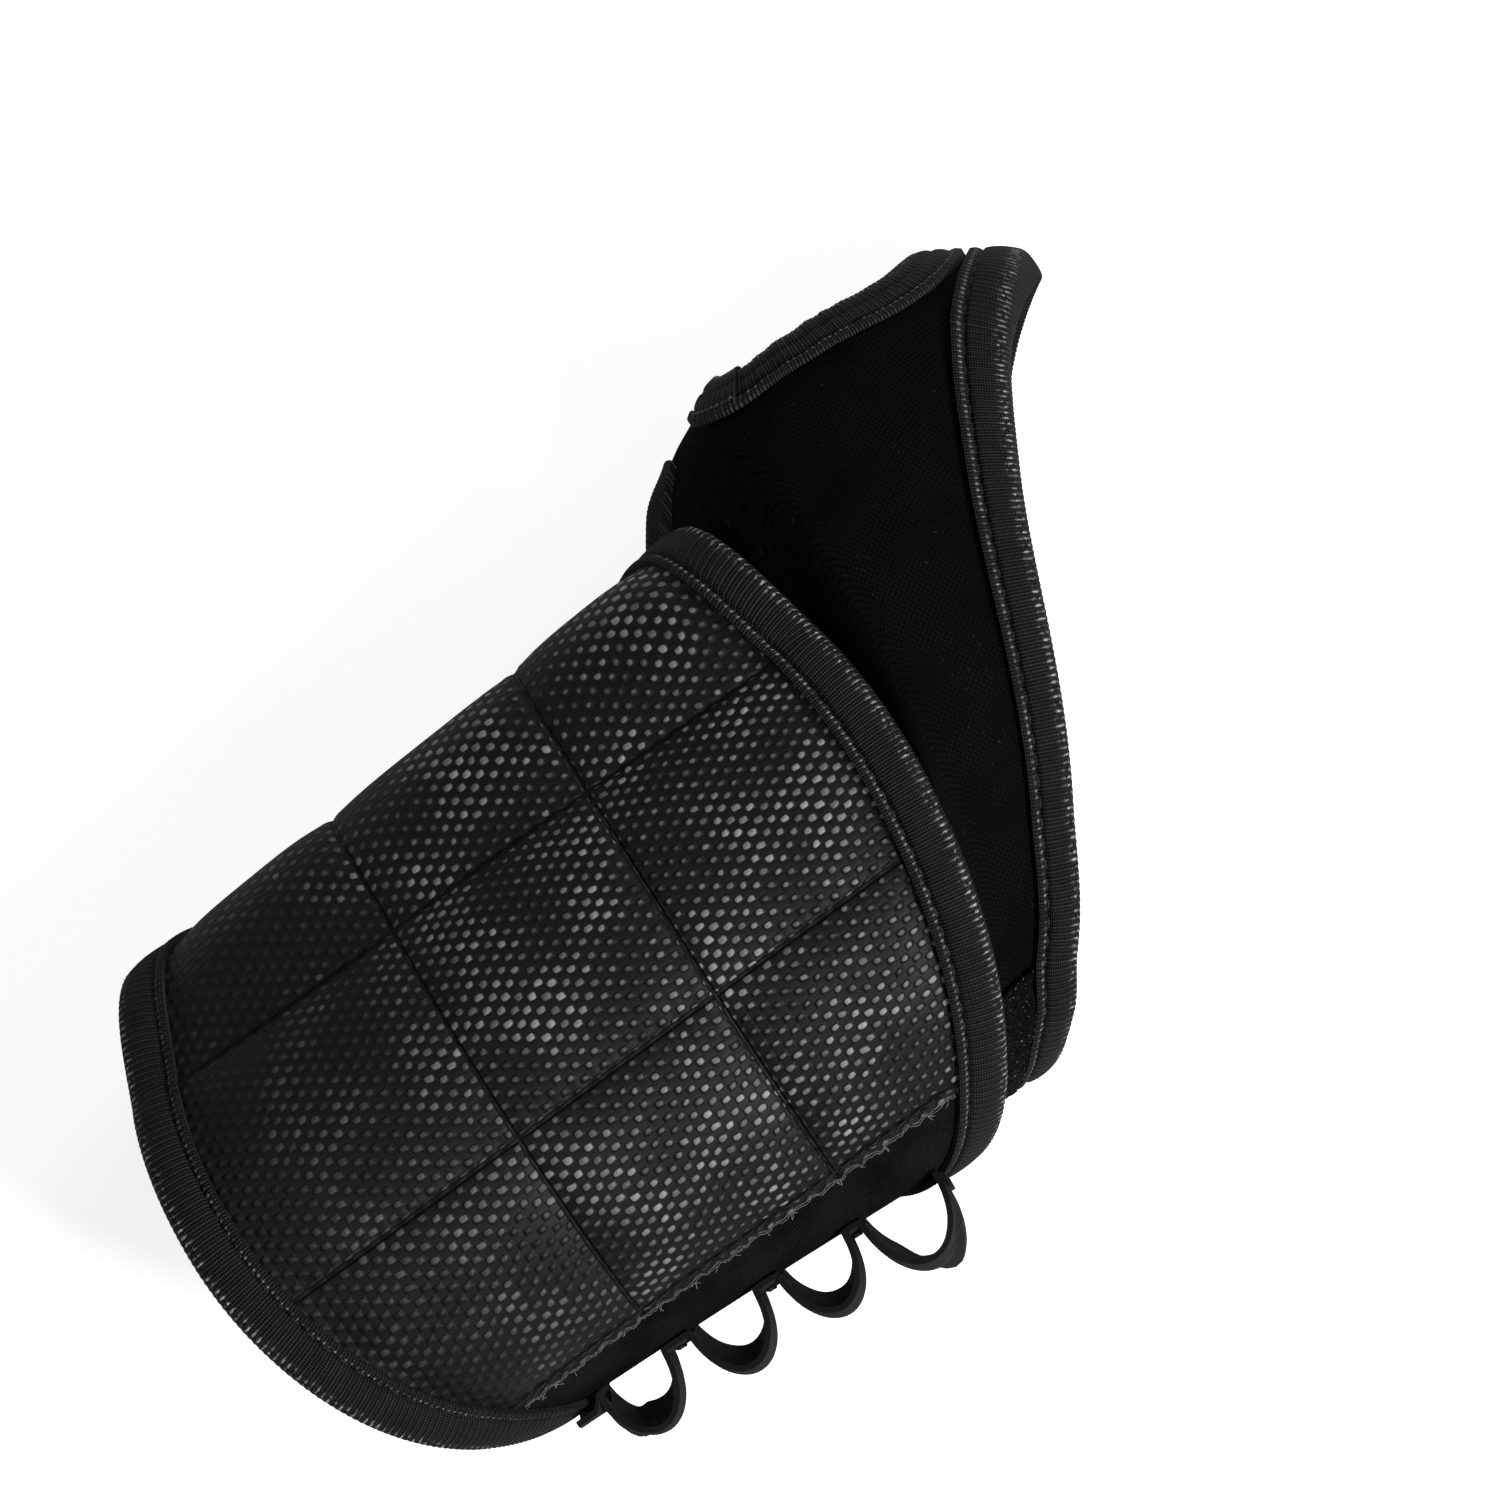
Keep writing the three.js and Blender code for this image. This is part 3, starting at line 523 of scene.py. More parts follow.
class NodeDesk:
    """One node material under construction."""

    def __init__(self, name: str) -> None:
        """Starts a material with its surface shader.

        Args:
            name: Name of the material.
        """
        self.material = bpy.data.materials.new(name)
        self.material.use_nodes = True
        self.tree = self.material.node_tree
        self.shader = self.tree.nodes["Principled BSDF"]

    def node(self, kind: str, **settings: object) -> bpy.types.Node:
        """Adds a node and sets its properties."""
        made = self.tree.nodes.new(kind)
        for key, value in settings.items():
            setattr(made, key, value)
        return made

    def feed(self, socket: Socket, value: object) -> None:
        """Links a socket to another, or gives it a plain value."""
        if isinstance(value, Socket):
            self.tree.links.new(value, socket)
        else:
            socket.default_value = value

    def math(self, operation: str, *values: object) -> Socket:
        """Adds a math node.

        Args:
            operation: Blender's name of the operation.
            values: Its inputs, as sockets or numbers.

        Returns:
            The result's socket.
        """
        made = self.node("ShaderNodeMath", operation=operation)
        for socket, value in zip(made.inputs, values):
            self.feed(socket, value)
        return made.outputs[0]

    def times(self, first: object, second: object) -> Socket:
        """Product of two values."""
        return self.math("MULTIPLY", first, second)

    def times_add(self, first: object, second: object, added: object) -> Socket:
        """Product of two values, and a third added to it."""
        return self.math("MULTIPLY_ADD", first, second, added)

    def cloth(self) -> tuple[Socket, Socket]:
        """The cloth's own two coordinates, in millimetres."""
        uv = self.node("ShaderNodeUVMap", uv_map="Cloth")
        split = self.node("ShaderNodeSeparateXYZ")
        self.tree.links.new(uv.outputs["UV"], split.inputs[0])
        return split.outputs["X"], split.outputs["Y"]

    def noise(self, scale: float, detail: float = 3.0, stretch: tuple = (1.0, 1.0, 1.0)) -> Socket:
        """Noise on the cloth's coordinates, in waves to the millimetre."""
        uv = self.node("ShaderNodeUVMap", uv_map="Cloth")
        turn = self.node("ShaderNodeMapping")
        self.tree.links.new(uv.outputs["UV"], turn.inputs["Vector"])
        turn.inputs["Scale"].default_value = stretch
        made = self.node("ShaderNodeTexNoise")
        self.tree.links.new(turn.outputs[0], made.inputs["Vector"])
        made.inputs["Scale"].default_value = scale
        made.inputs["Detail"].default_value = detail
        return made.outputs["Fac"]

    def wave(self, distance: object, pitch: float) -> Socket:
        """Cosine of a distance, from 0 to 1, once for every pitch."""
        angle = self.times(distance, 2.0 * math.pi / pitch)
        return self.math("MULTIPLY_ADD", self.math("COSINE", angle), 0.5, 0.5)

    def ramp(self, value: object, low: float, high: float) -> Socket:
        """Smooth step of a value between two limits, from 0 to 1."""
        made = self.node("ShaderNodeMapRange", interpolation_type="SMOOTHSTEP")
        self.feed(made.inputs["Value"], value)
        made.inputs["From Min"].default_value = low
        made.inputs["From Max"].default_value = high
        return made.outputs["Result"]

    def choose(self, share: object, first: object, second: object) -> Socket:
        """Number between two, by a share."""
        made = self.node("ShaderNodeMix", data_type="FLOAT")
        sockets = made.inputs[0], made.inputs[2], made.inputs[3]
        for socket, value in zip(sockets, (share, first, second)):
            self.feed(socket, value)
        return made.outputs[0]

    def blend(self, share: object, dark: object, light: object) -> Socket:
        """Colour between two, each a socket or three numbers, by a share."""
        made = self.node("ShaderNodeMix", data_type="RGBA")
        self.feed(made.inputs[0], share)
        for socket, colour in ((made.inputs[6], dark), (made.inputs[7], light)):
            self.feed(socket, colour if isinstance(colour, Socket) else (*colour, 1.0))
        return made.outputs[2]

    def dress(
        self, colour: object, roughness: object, height: object, depth: float, gloss: float,
        sheen: float = 0.0,
    ) -> bpy.types.Material:
        """Connects colour, roughness and relief, and finishes the material.

        Args:
            colour: Base colour.
            roughness: Roughness.
            height: Relief from 0 to 1.
            depth: Height of that relief in millimetres.
            gloss: Constant specular level.
            sheen: Constant strength of the fibre sheen.

        Returns:
            The material.
        """
        self.feed(self.shader.inputs["Base Color"], colour)
        self.feed(self.shader.inputs["Roughness"], roughness)
        self.shader.inputs["Specular IOR Level"].default_value = gloss
        self.shader.inputs["Sheen Weight"].default_value = sheen
        self.shader.inputs["Sheen Roughness"].default_value = 0.5
        bump = self.node("ShaderNodeBump")
        bump.inputs["Strength"].default_value = 1.0
        bump.inputs["Distance"].default_value = depth * MM
        self.feed(bump.inputs["Height"], height)
        self.tree.links.new(bump.outputs[0], self.shader.inputs["Normal"])
        return self.material


@dataclass(frozen=True)
class WovenNylon:
    """Coarse nylon: the bundles round the arm show between dull ones along it with painted highlights, light
    spots in the colour that fade towards the elbow end as painted shade, and seams sink in.
    """

    name: str
    seams_round: tuple[float, ...]
    seams_along: tuple[float, ...]
    along_pitch: float = 1.43
    round_pitch: float = 0.93
    dark: tuple = (0.0045, 0.0045, 0.0047)
    # Colour of the painted highlights on the bundles round the arm.
    light: tuple = (0.29, 0.29, 0.295)
    # Places along the arm where the painted highlights fade out as painted shade and where they reach full
    # strength, and the share of them left in the shade.
    shaded_at: float = -42.0
    lit_at: float = 22.0
    patch_shift: float = 14.0
    shaded_share: float = 0.07
    groove: tuple = (0.12, 0.42)
    groove_colour: tuple = (0.001, 0.001, 0.001)
    depth: float = 0.24
    gloss: float = 0.16

    def seam_distance(self, desk: NodeDesk, u: Socket, x: Socket) -> Socket:
        """Distance to the nearest seam.

        Args:
            desk: The material under construction.
            u: Distance round.
            x: Place along the arm.

        Returns:
            The distance's socket.
        """
        nearest = None
        for value, places in ((x, self.seams_along), (u, self.seams_round)):
            for place in places:
                away = desk.math("ABSOLUTE", desk.math("SUBTRACT", value, place))
                nearest = away if nearest is None else desk.math("MINIMUM", nearest, away)
        return nearest

    def hump(self, desk: NodeDesk, cell: Socket) -> Socket:
        """Rounding of a bundle over one cell, 1 in its middle and 0 at its ends."""
        away = desk.math("SUBTRACT", desk.math("FRACT", cell), 0.5)
        return desk.math("COSINE", desk.times(away, math.pi))

    def material(self) -> bpy.types.Material:
        """Builds the finish."""
        desk = NodeDesk(self.name)
        u, x = desk.cloth()
        wander = desk.times_add(desk.noise(1.1, 1.0), 0.32, desk.times(desk.noise(0.2, 1.0), 0.8))
        a = desk.math("DIVIDE", desk.math("ADD", x, wander), self.along_pitch)
        b = desk.math("DIVIDE", desk.times_add(wander, 0.7, u), self.round_pitch)
        column, row = desk.math("FLOOR", a), desk.math("FLOOR", b)
        parity = desk.math("FLOORED_MODULO", desk.math("ADD", column, row), 2.0)
        hump_a, hump_b = self.hump(desk, a), self.hump(desk, b)
        over = desk.times(hump_a, desk.math("POWER", hump_b, 0.5))
        under = desk.times_add(hump_b, 0.12, 0.1)
        weave = desk.choose(parity, under, over)
        fibre = desk.noise(8.0, 2.0, (1.0, 0.2, 1.0))
        cell = desk.node("ShaderNodeCombineXYZ")
        desk.feed(cell.inputs[0], column)
        desk.feed(cell.inputs[1], row)
        chance = desk.node("ShaderNodeTexWhiteNoise", noise_dimensions="2D")
        desk.feed(chance.inputs["Vector"], cell.outputs[0])
        # Painted highlights: light spots on the bundles round the arm, in patches and stronger in some cells
        # than others.
        patchy = desk.ramp(desk.noise(0.075, 3.0), 0.36, 0.64)
        crest = desk.times(hump_a, desk.math("POWER", hump_b, 0.7))
        spot = desk.ramp(desk.times_add(patchy, 0.45, crest), 0.62, 1.04)
        lit = desk.times(desk.times(spot, parity), desk.times_add(patchy, 0.62, 0.38))
        luck = desk.math("POWER", chance.outputs["Value"], 1.2)
        lit = desk.times(lit, desk.times_add(luck, 0.75, 0.36))
        lit = desk.times(lit, desk.times_add(fibre, 1.1, 0.3))
        # Painted shade: the highlights fade towards the elbow end.
        shift = self.patch_shift / 2.0
        place = desk.times_add(patchy, self.patch_shift, x)
        painted_light_side = desk.ramp(place, self.shaded_at + shift, self.lit_at + shift)
        lit = desk.times(lit, desk.times_add(painted_light_side, 1.0 - self.shaded_share, self.shaded_share))
        away = self.seam_distance(desk, u, x)
        groove = desk.ramp(away, *self.groove)
        colour = desk.blend(desk.times(lit, groove), self.dark, self.light)
        colour = desk.blend(groove, self.groove_colour, colour)
        height = desk.times(desk.times_add(fibre, 0.18, weave), groove)
        rough = desk.times_add(lit, -0.2, 0.55)
        return desk.dress(colour, rough, desk.times_add(groove, 0.6, height), self.depth, self.gloss)


@dataclass(frozen=True)
class RibbedTape:
    """Grosgrain tape: the ribs are in the mesh, and painted highlights in the colour make them shine where they
    turn over the edge and along the selvage.
    """

    name: str = "ribbed_tape"
    pitch: float = 0.87
    dark: tuple = (0.0018, 0.0018, 0.0019)
    # Colour of the rib crests: a painted highlight that makes the ribs stand out.
    light: tuple = (0.044, 0.044, 0.0445)
    # Colour of the painted glints over the nose and along the selvage.
    painted_glint: tuple = (0.52, 0.52, 0.525)
    # Places and widths across the tape of the bands of painted glints.
    rim: float = 6.6
    rim_width: float = 0.62
    selvage: float = 1.0
    selvage_width: float = 0.2
    yarn_pitch: float = 0.34
    depth: float = 0.18
    gloss: float = 0.13

    def band(self, desk: NodeDesk, across: Socket, middle: float, width: float) -> Socket:
        """Soft band across the tape, 1 in its middle."""
        away = desk.math("DIVIDE", desk.math("SUBTRACT", across, middle), width)
        return desk.math("POWER", math.e, desk.times(desk.times(away, away), -1.0))

    def material(self) -> bpy.types.Material:
        """Builds the finish."""
        desk = NodeDesk(self.name)
        s, t = desk.cloth()
        rib = desk.wave(s, self.pitch)
        half_rib = desk.wave(s, self.pitch / 2.0)
        yarn = desk.wave(t, self.yarn_pitch)
        patchy = desk.noise(0.3, 3.0)
        fleck = desk.noise(1.3, 2.0)
        fine = desk.noise(5.0, 2.0, (1.0, 0.3, 1.0))
        # Painted light and shade on the ribs: crests lighter and valleys darker, in patches.
        both = desk.times_add(half_rib, 0.82, desk.times(rib, 0.18))
        crossed = desk.times(both, desk.times_add(yarn, 0.6, 0.4))
        share = desk.times(desk.math("POWER", crossed, 2.2), desk.times_add(patchy, 1.5, 0.25))
        colour = desk.blend(share, self.dark, self.light)
        # Painted glints: a band over the nose and beads on the selvage, on the ribs' crests and in patches.
        rims = self.band(desk, t, self.rim, self.rim_width)
        edge = self.band(desk, t, self.selvage, self.selvage_width)
        dots = desk.times(desk.math("POWER", rib, 2.0), edge)
        dots = desk.times(desk.times(dots, desk.ramp(fine, 0.35, 0.6)), 0.6)
        beads = desk.times(desk.math("POWER", rib, 3.0), desk.ramp(fine, 0.25, 0.6))
        beads = desk.times(beads, desk.ramp(fleck, 0.4, 0.6))
        painted_shine = desk.times(desk.times_add(beads, rims, dots), desk.ramp(patchy, 0.25, 0.55))
        colour = desk.blend(painted_shine, colour, self.painted_glint)
        height = desk.times_add(yarn, 0.3, desk.times_add(fine, 0.35, both))
        rough = desk.times_add(patchy, 0.2, 0.56)
        return desk.dress(colour, rough, height, self.depth, self.gloss)


@dataclass(frozen=True)
class KnitFace:
    """Smooth black fabric with a fine even grid, as on neoprene, or with slanting wales."""

    name: str
    pitch: float
    slant: float
    lean: float
    dark: tuple
    light: tuple
    depth: float
    gloss: float
    lint: float = 0.0
    wander: float = 0.5

    def material(self) -> bpy.types.Material:
        """Builds the finish."""
        desk = NodeDesk(self.name)
        u, x = desk.cloth()
        x = desk.times_add(desk.noise(0.9, 2.0), self.wander, x)
        along = desk.wave(desk.times_add(u, self.slant, x), self.pitch)
        across = desk.wave(desk.times_add(x, -self.slant, u), self.pitch * 1.15)
        grid = desk.times_add(along, self.lean, desk.times(across, 1.0 - self.lean))
        haze = desk.noise(0.12, 4.0)
        fluff = desk.noise(3.1, 4.0)
        share = desk.times(desk.math("POWER", grid, 1.5), desk.ramp(haze, 0.15, 0.65))
        share = desk.times(share, desk.times_add(fluff, 1.0, 0.5))
        colour = desk.blend(share, self.dark, self.light)
        if self.lint > 0.0:
            speck = desk.ramp(desk.noise(1.9, 1.0), 1.0 - self.lint, 1.0)
            colour = desk.blend(speck, colour, (0.08, 0.08, 0.08))
        height = desk.times_add(fluff, 0.5, grid)
        return desk.dress(colour, desk.times_add(haze, 0.15, 0.75), height, self.depth, self.gloss)


@dataclass(frozen=True)
class BrushedPile:
    """Matted loops of the closure's soft side."""

    dark: tuple = (0.002, 0.002, 0.002)
    light: tuple = (0.011, 0.011, 0.0113)
    speck: tuple = (0.2, 0.2, 0.2)

    def material(self) -> bpy.types.Material:
        """Builds the finish."""
        desk = NodeDesk("brushed_pile")
        loops = desk.noise(2.2, 6.0)
        tufts = desk.noise(0.7, 3.0)
        share = desk.times(desk.ramp(loops, 0.5, 0.8), desk.times_add(tufts, 1.6, 0.1))
        colour = desk.blend(share, self.dark, self.light)
        colour = desk.blend(desk.ramp(desk.noise(2.6, 1.0), 0.66, 0.78), colour, self.speck)
        return desk.dress(colour, 0.95, desk.times_add(tufts, 0.6, loops), depth=0.6, gloss=0.03, sheen=0.02)


@dataclass(frozen=True)
class SpunThread:
    """Polyester thread with its twist."""

    name: str
    dark: tuple
    light: tuple

    def material(self) -> bpy.types.Material:
        """Builds the finish."""
        desk = NodeDesk(self.name)
        s, t = desk.cloth()
        twist = desk.wave(desk.math("ADD", s, t), 0.3)
        colour = desk.blend(twist, self.dark, self.light)
        return desk.dress(colour, 0.5, twist, depth=0.04, gloss=0.3)


@dataclass(frozen=True)
class OpenFoam:
    """Charcoal foam of the padding."""

    dark: tuple = (0.006, 0.006, 0.006)
    light: tuple = (0.03, 0.03, 0.03)

    def material(self) -> bpy.types.Material:
        """Builds the finish."""
        desk = NodeDesk("open_foam")
        cells = desk.ramp(desk.noise(1.6, 2.0), 0.35, 0.65)
        return desk.dress(desk.blend(cells, self.dark, self.light), 0.9, cells, depth=0.2, gloss=0.2)


@dataclass(frozen=True)
class NickelPlate:
    """Plated magnet: bright metal with fine turning marks and dull spots."""

    def material(self) -> bpy.types.Material:
        """Builds the finish."""
        desk = NodeDesk("nickel_plate")
        place = desk.node("ShaderNodeTexCoord")
        cloud = desk.node("ShaderNodeTexNoise")
        desk.tree.links.new(place.outputs["Object"], cloud.inputs["Vector"])
        cloud.inputs["Scale"].default_value = 900.0
        desk.shader.inputs["Metallic"].default_value = 1.0
        dull = desk.times_add(cloud.outputs["Fac"], 0.2, 0.18)
        colour = desk.blend(cloud.outputs["Fac"], (0.5, 0.5, 0.52), (0.72, 0.72, 0.74))
        return desk.dress(colour, dull, cloud.outputs["Fac"], depth=0.01, gloss=0.5)


class Finishes:
    """All finishes, each built once."""

    def __init__(self) -> None:
        """Builds the materials."""
        seams = Quilting.along_seams
        self.panel_nylon = WovenNylon("panel_nylon", seams_round=(0.0, 31.0, 60.4), seams_along=seams).material()
        self.flap_nylon = WovenNylon(
            "flap_nylon", seams_round=(0.0, -FLAP.second_seam), seams_along=seams
        ).material()
        self.tape = RibbedTape().material()
        # The thumb hole's tape is a lighter copy of the tape, with more painted highlight on its ribs.
        self.thumb_tape = RibbedTape("thumb_ribbed_tape", dark=(0.003,) * 3, light=(0.05,) * 3).material()
        self.neoprene = self.knitted(
            "neoprene_face", pitch=0.6, slant=-0.577, lean=0.52, dark=0.0004, light=0.0046,
            depth=0.03, gloss=0.04, lint=0.3,
        )
        self.knit = self.knitted(
            "fine_knit", pitch=0.29, slant=0.08, lean=0.85, dark=0.0006, light=0.019,
            depth=0.14, gloss=0.05, lint=0.3,
        )
        self.lining = self.knitted(
            "lining_knit", pitch=0.6, slant=0.0, lean=0.5, dark=0.002, light=0.016,
            depth=0.08, gloss=0.12, lint=0.3,
        )
        self.elastic = self.knitted(
            "woven_elastic", pitch=0.36, slant=0.0, lean=0.2, dark=0.002, light=0.03,
            depth=0.12, gloss=0.15,
        )
        self.hook = self.knitted(
            "hook_base", pitch=0.8, slant=0.0, lean=0.5, dark=0.004, light=0.02,
            depth=0.05, gloss=0.3,
        )
        self.pile = BrushedPile().material()
        self.thread = SpunThread("seam_thread", (0.002,) * 3, (0.02,) * 3).material()
        # The raw edge's thread is painted pale: a painted highlight for the glints on its fibres.
        self.painted_glint_thread = SpunThread("hem_thread", (0.03,) * 3, (0.34,) * 3).material()
        self.foam = OpenFoam().material()
        self.nickel = NickelPlate().material()

    def knitted(
        self, name: str, pitch: float, slant: float, lean: float, dark: float, light: float, depth: float,
        gloss: float, lint: float = 0.0,
    ) -> bpy.types.Material:
        """Builds one knitted finish between two greys."""
        return KnitFace(name, pitch, slant, lean, (dark,) * 3, (light,) * 3, depth, gloss, lint).material()


def grid_quads(rows: int, columns: int, closed: bool = False) -> Array:
    """Quads of a grid of points, by row and column.

    Args:
        rows: Number of rows of points.
        columns: Number of points in a row.
        closed: Whether the last row joins the first.

    Returns:
        Four indices for each quad.
    """
    i = np.arange(rows if closed else rows - 1)[:, None]
    j = np.arange(columns - 1)[None, :]
    a = i * columns + j
    b = ((i + 1) % rows) * columns + j
    return np.stack([a, b, b + 1, a + 1], -1).reshape(-1, 4)


def linked_piece(name: str, points: Array, faces: list, corners: Array) -> bpy.types.Object:
    """Piece with cloth coordinates at its faces' corners, linked and active.

    Args:
        name: Name of the piece.
        points: Its points, in millimetres.
        faces: Its faces, as indices of the points.
        corners: Cloth coordinates of the faces' corners in order, in millimetres.

    Returns:
        The piece.
    """
    mesh = bpy.data.meshes.new(name)
    mesh.from_pydata((points * MM).tolist(), [], faces)
    layer = mesh.uv_layers.new(name="Cloth")
    layer.data.foreach_set("uv", corners.reshape(-1).astype(np.float32))
    piece = bpy.data.objects.new(name, mesh)
    bpy.context.scene.collection.objects.link(piece)
    bpy.ops.object.select_all(action="DESELECT")
    piece.select_set(True)
    bpy.context.view_layer.objects.active = piece
    return piece


def cloth_body(
    name: str, outer: Array, inner: Array, quads: Array, uv: Array, period: float = 0.0
) -> bpy.types.Object:
    """Closed cloth of two faces and the rims between them.

    Args:
        name: Name of the piece.
        outer: Points of the outer face, in millimetres.
        inner: Points of the inner face, one for each outer one.
        quads: Quads of the outer face, as indices of its points.
        uv: Cloth coordinates of the points, in millimetres.
        period: Length of the first coordinate once round, if the cloth closes on itself.

    Returns:
        The piece.
    """
    used, flat = np.unique(quads, return_inverse=True)
    faces = flat.reshape(quads.shape)
    count = len(used)
    points = np.concatenate([outer[used], inner[used]])
    edges = np.stack([faces, np.roll(faces, -1, axis=1)], -1).reshape(-1, 2)
    forward, backward = edges[:, 0] * count + edges[:, 1], edges[:, 1] * count + edges[:, 0]
    rim = edges[~np.isin(forward, backward)]
    walls = np.stack([rim[:, 1], rim[:, 0], rim[:, 0] + count, rim[:, 1] + count], -1)
    whole = np.concatenate([faces, faces[:, ::-1] + count, walls])
    p = points[whole]
    normals = np.cross(p[:, 1], p[:, 2]) + np.cross(p[:, 2], p[:, 3])
    volume = (p[:, 0] * normals).sum()
    if volume < 0.0:
        whole = whole[:, ::-1]
    corners = np.concatenate([uv[used], uv[used]])[whole]
    if period > 0.0:
        first = corners[..., 0]
        wraps = first.max(1) - first.min(1) > period / 2.0
        first[wraps] += np.where(first[wraps] < period / 2.0, period, 0.0)
    piece = linked_piece(name, points, whole.tolist(), corners)
    bpy.ops.object.shade_smooth_by_angle(angle=SMOOTH_ANGLE)
    return piece


@dataclass(frozen=True)
class Cut:
    """Outline of a flat-cut piece on one of the surfaces, and how finely it is meshed."""

    place: Place
    start: float
    end: float
    low: Along
    high: Along
    row_step: float = 1.2
    columns: int = 60
    keep: Callable[[Array, Array], Array] | None = None
    closed: bool = False
    spread: Callable[[Array, Array], Array] | None = None

    def rows(self) -> Array:
        """Distances round of the rows."""
        count = max(2, math.ceil(abs(self.end - self.start) / self.row_step))
        rows = np.linspace(self.start, self.end, count + 1)
        return rows[:-1] if self.closed else rows

    def body(self, name: str, outer: Callable | float, inner: Callable | float) -> bpy.types.Object:
        """Closed cloth between two offsets, each a number or a function of the two coordinates.

        Args:
            name: Name of the piece.
            outer: Offset of the outer face.
            inner: Offset of the inner face.

        Returns:
            The piece.
        """
        rows = self.rows()
        share = np.linspace(0.0, 1.0, self.columns + 1)
        u = np.repeat(rows[:, None], self.columns + 1, axis=1)
        if self.spread:
            x = self.spread(rows, share)
        else:
            x = mix(self.low(rows)[:, None], self.high(rows)[:, None], share)
        u, x = u.reshape(-1), np.asarray(x).reshape(-1)
        quads = grid_quads(len(rows), self.columns + 1, self.closed)
        if self.keep:
            quads = quads[self.keep(u[quads].mean(1), x[quads].mean(1))]
        level = [value(u, x) if callable(value) else np.full_like(u, value) for value in (outer, inner)]
        faces = [self.place(u, x, value) for value in level]
        period = abs(self.end - self.start) if self.closed else 0.0
        return cloth_body(name, faces[0], faces[1], quads, np.stack([u, x], -1), period)


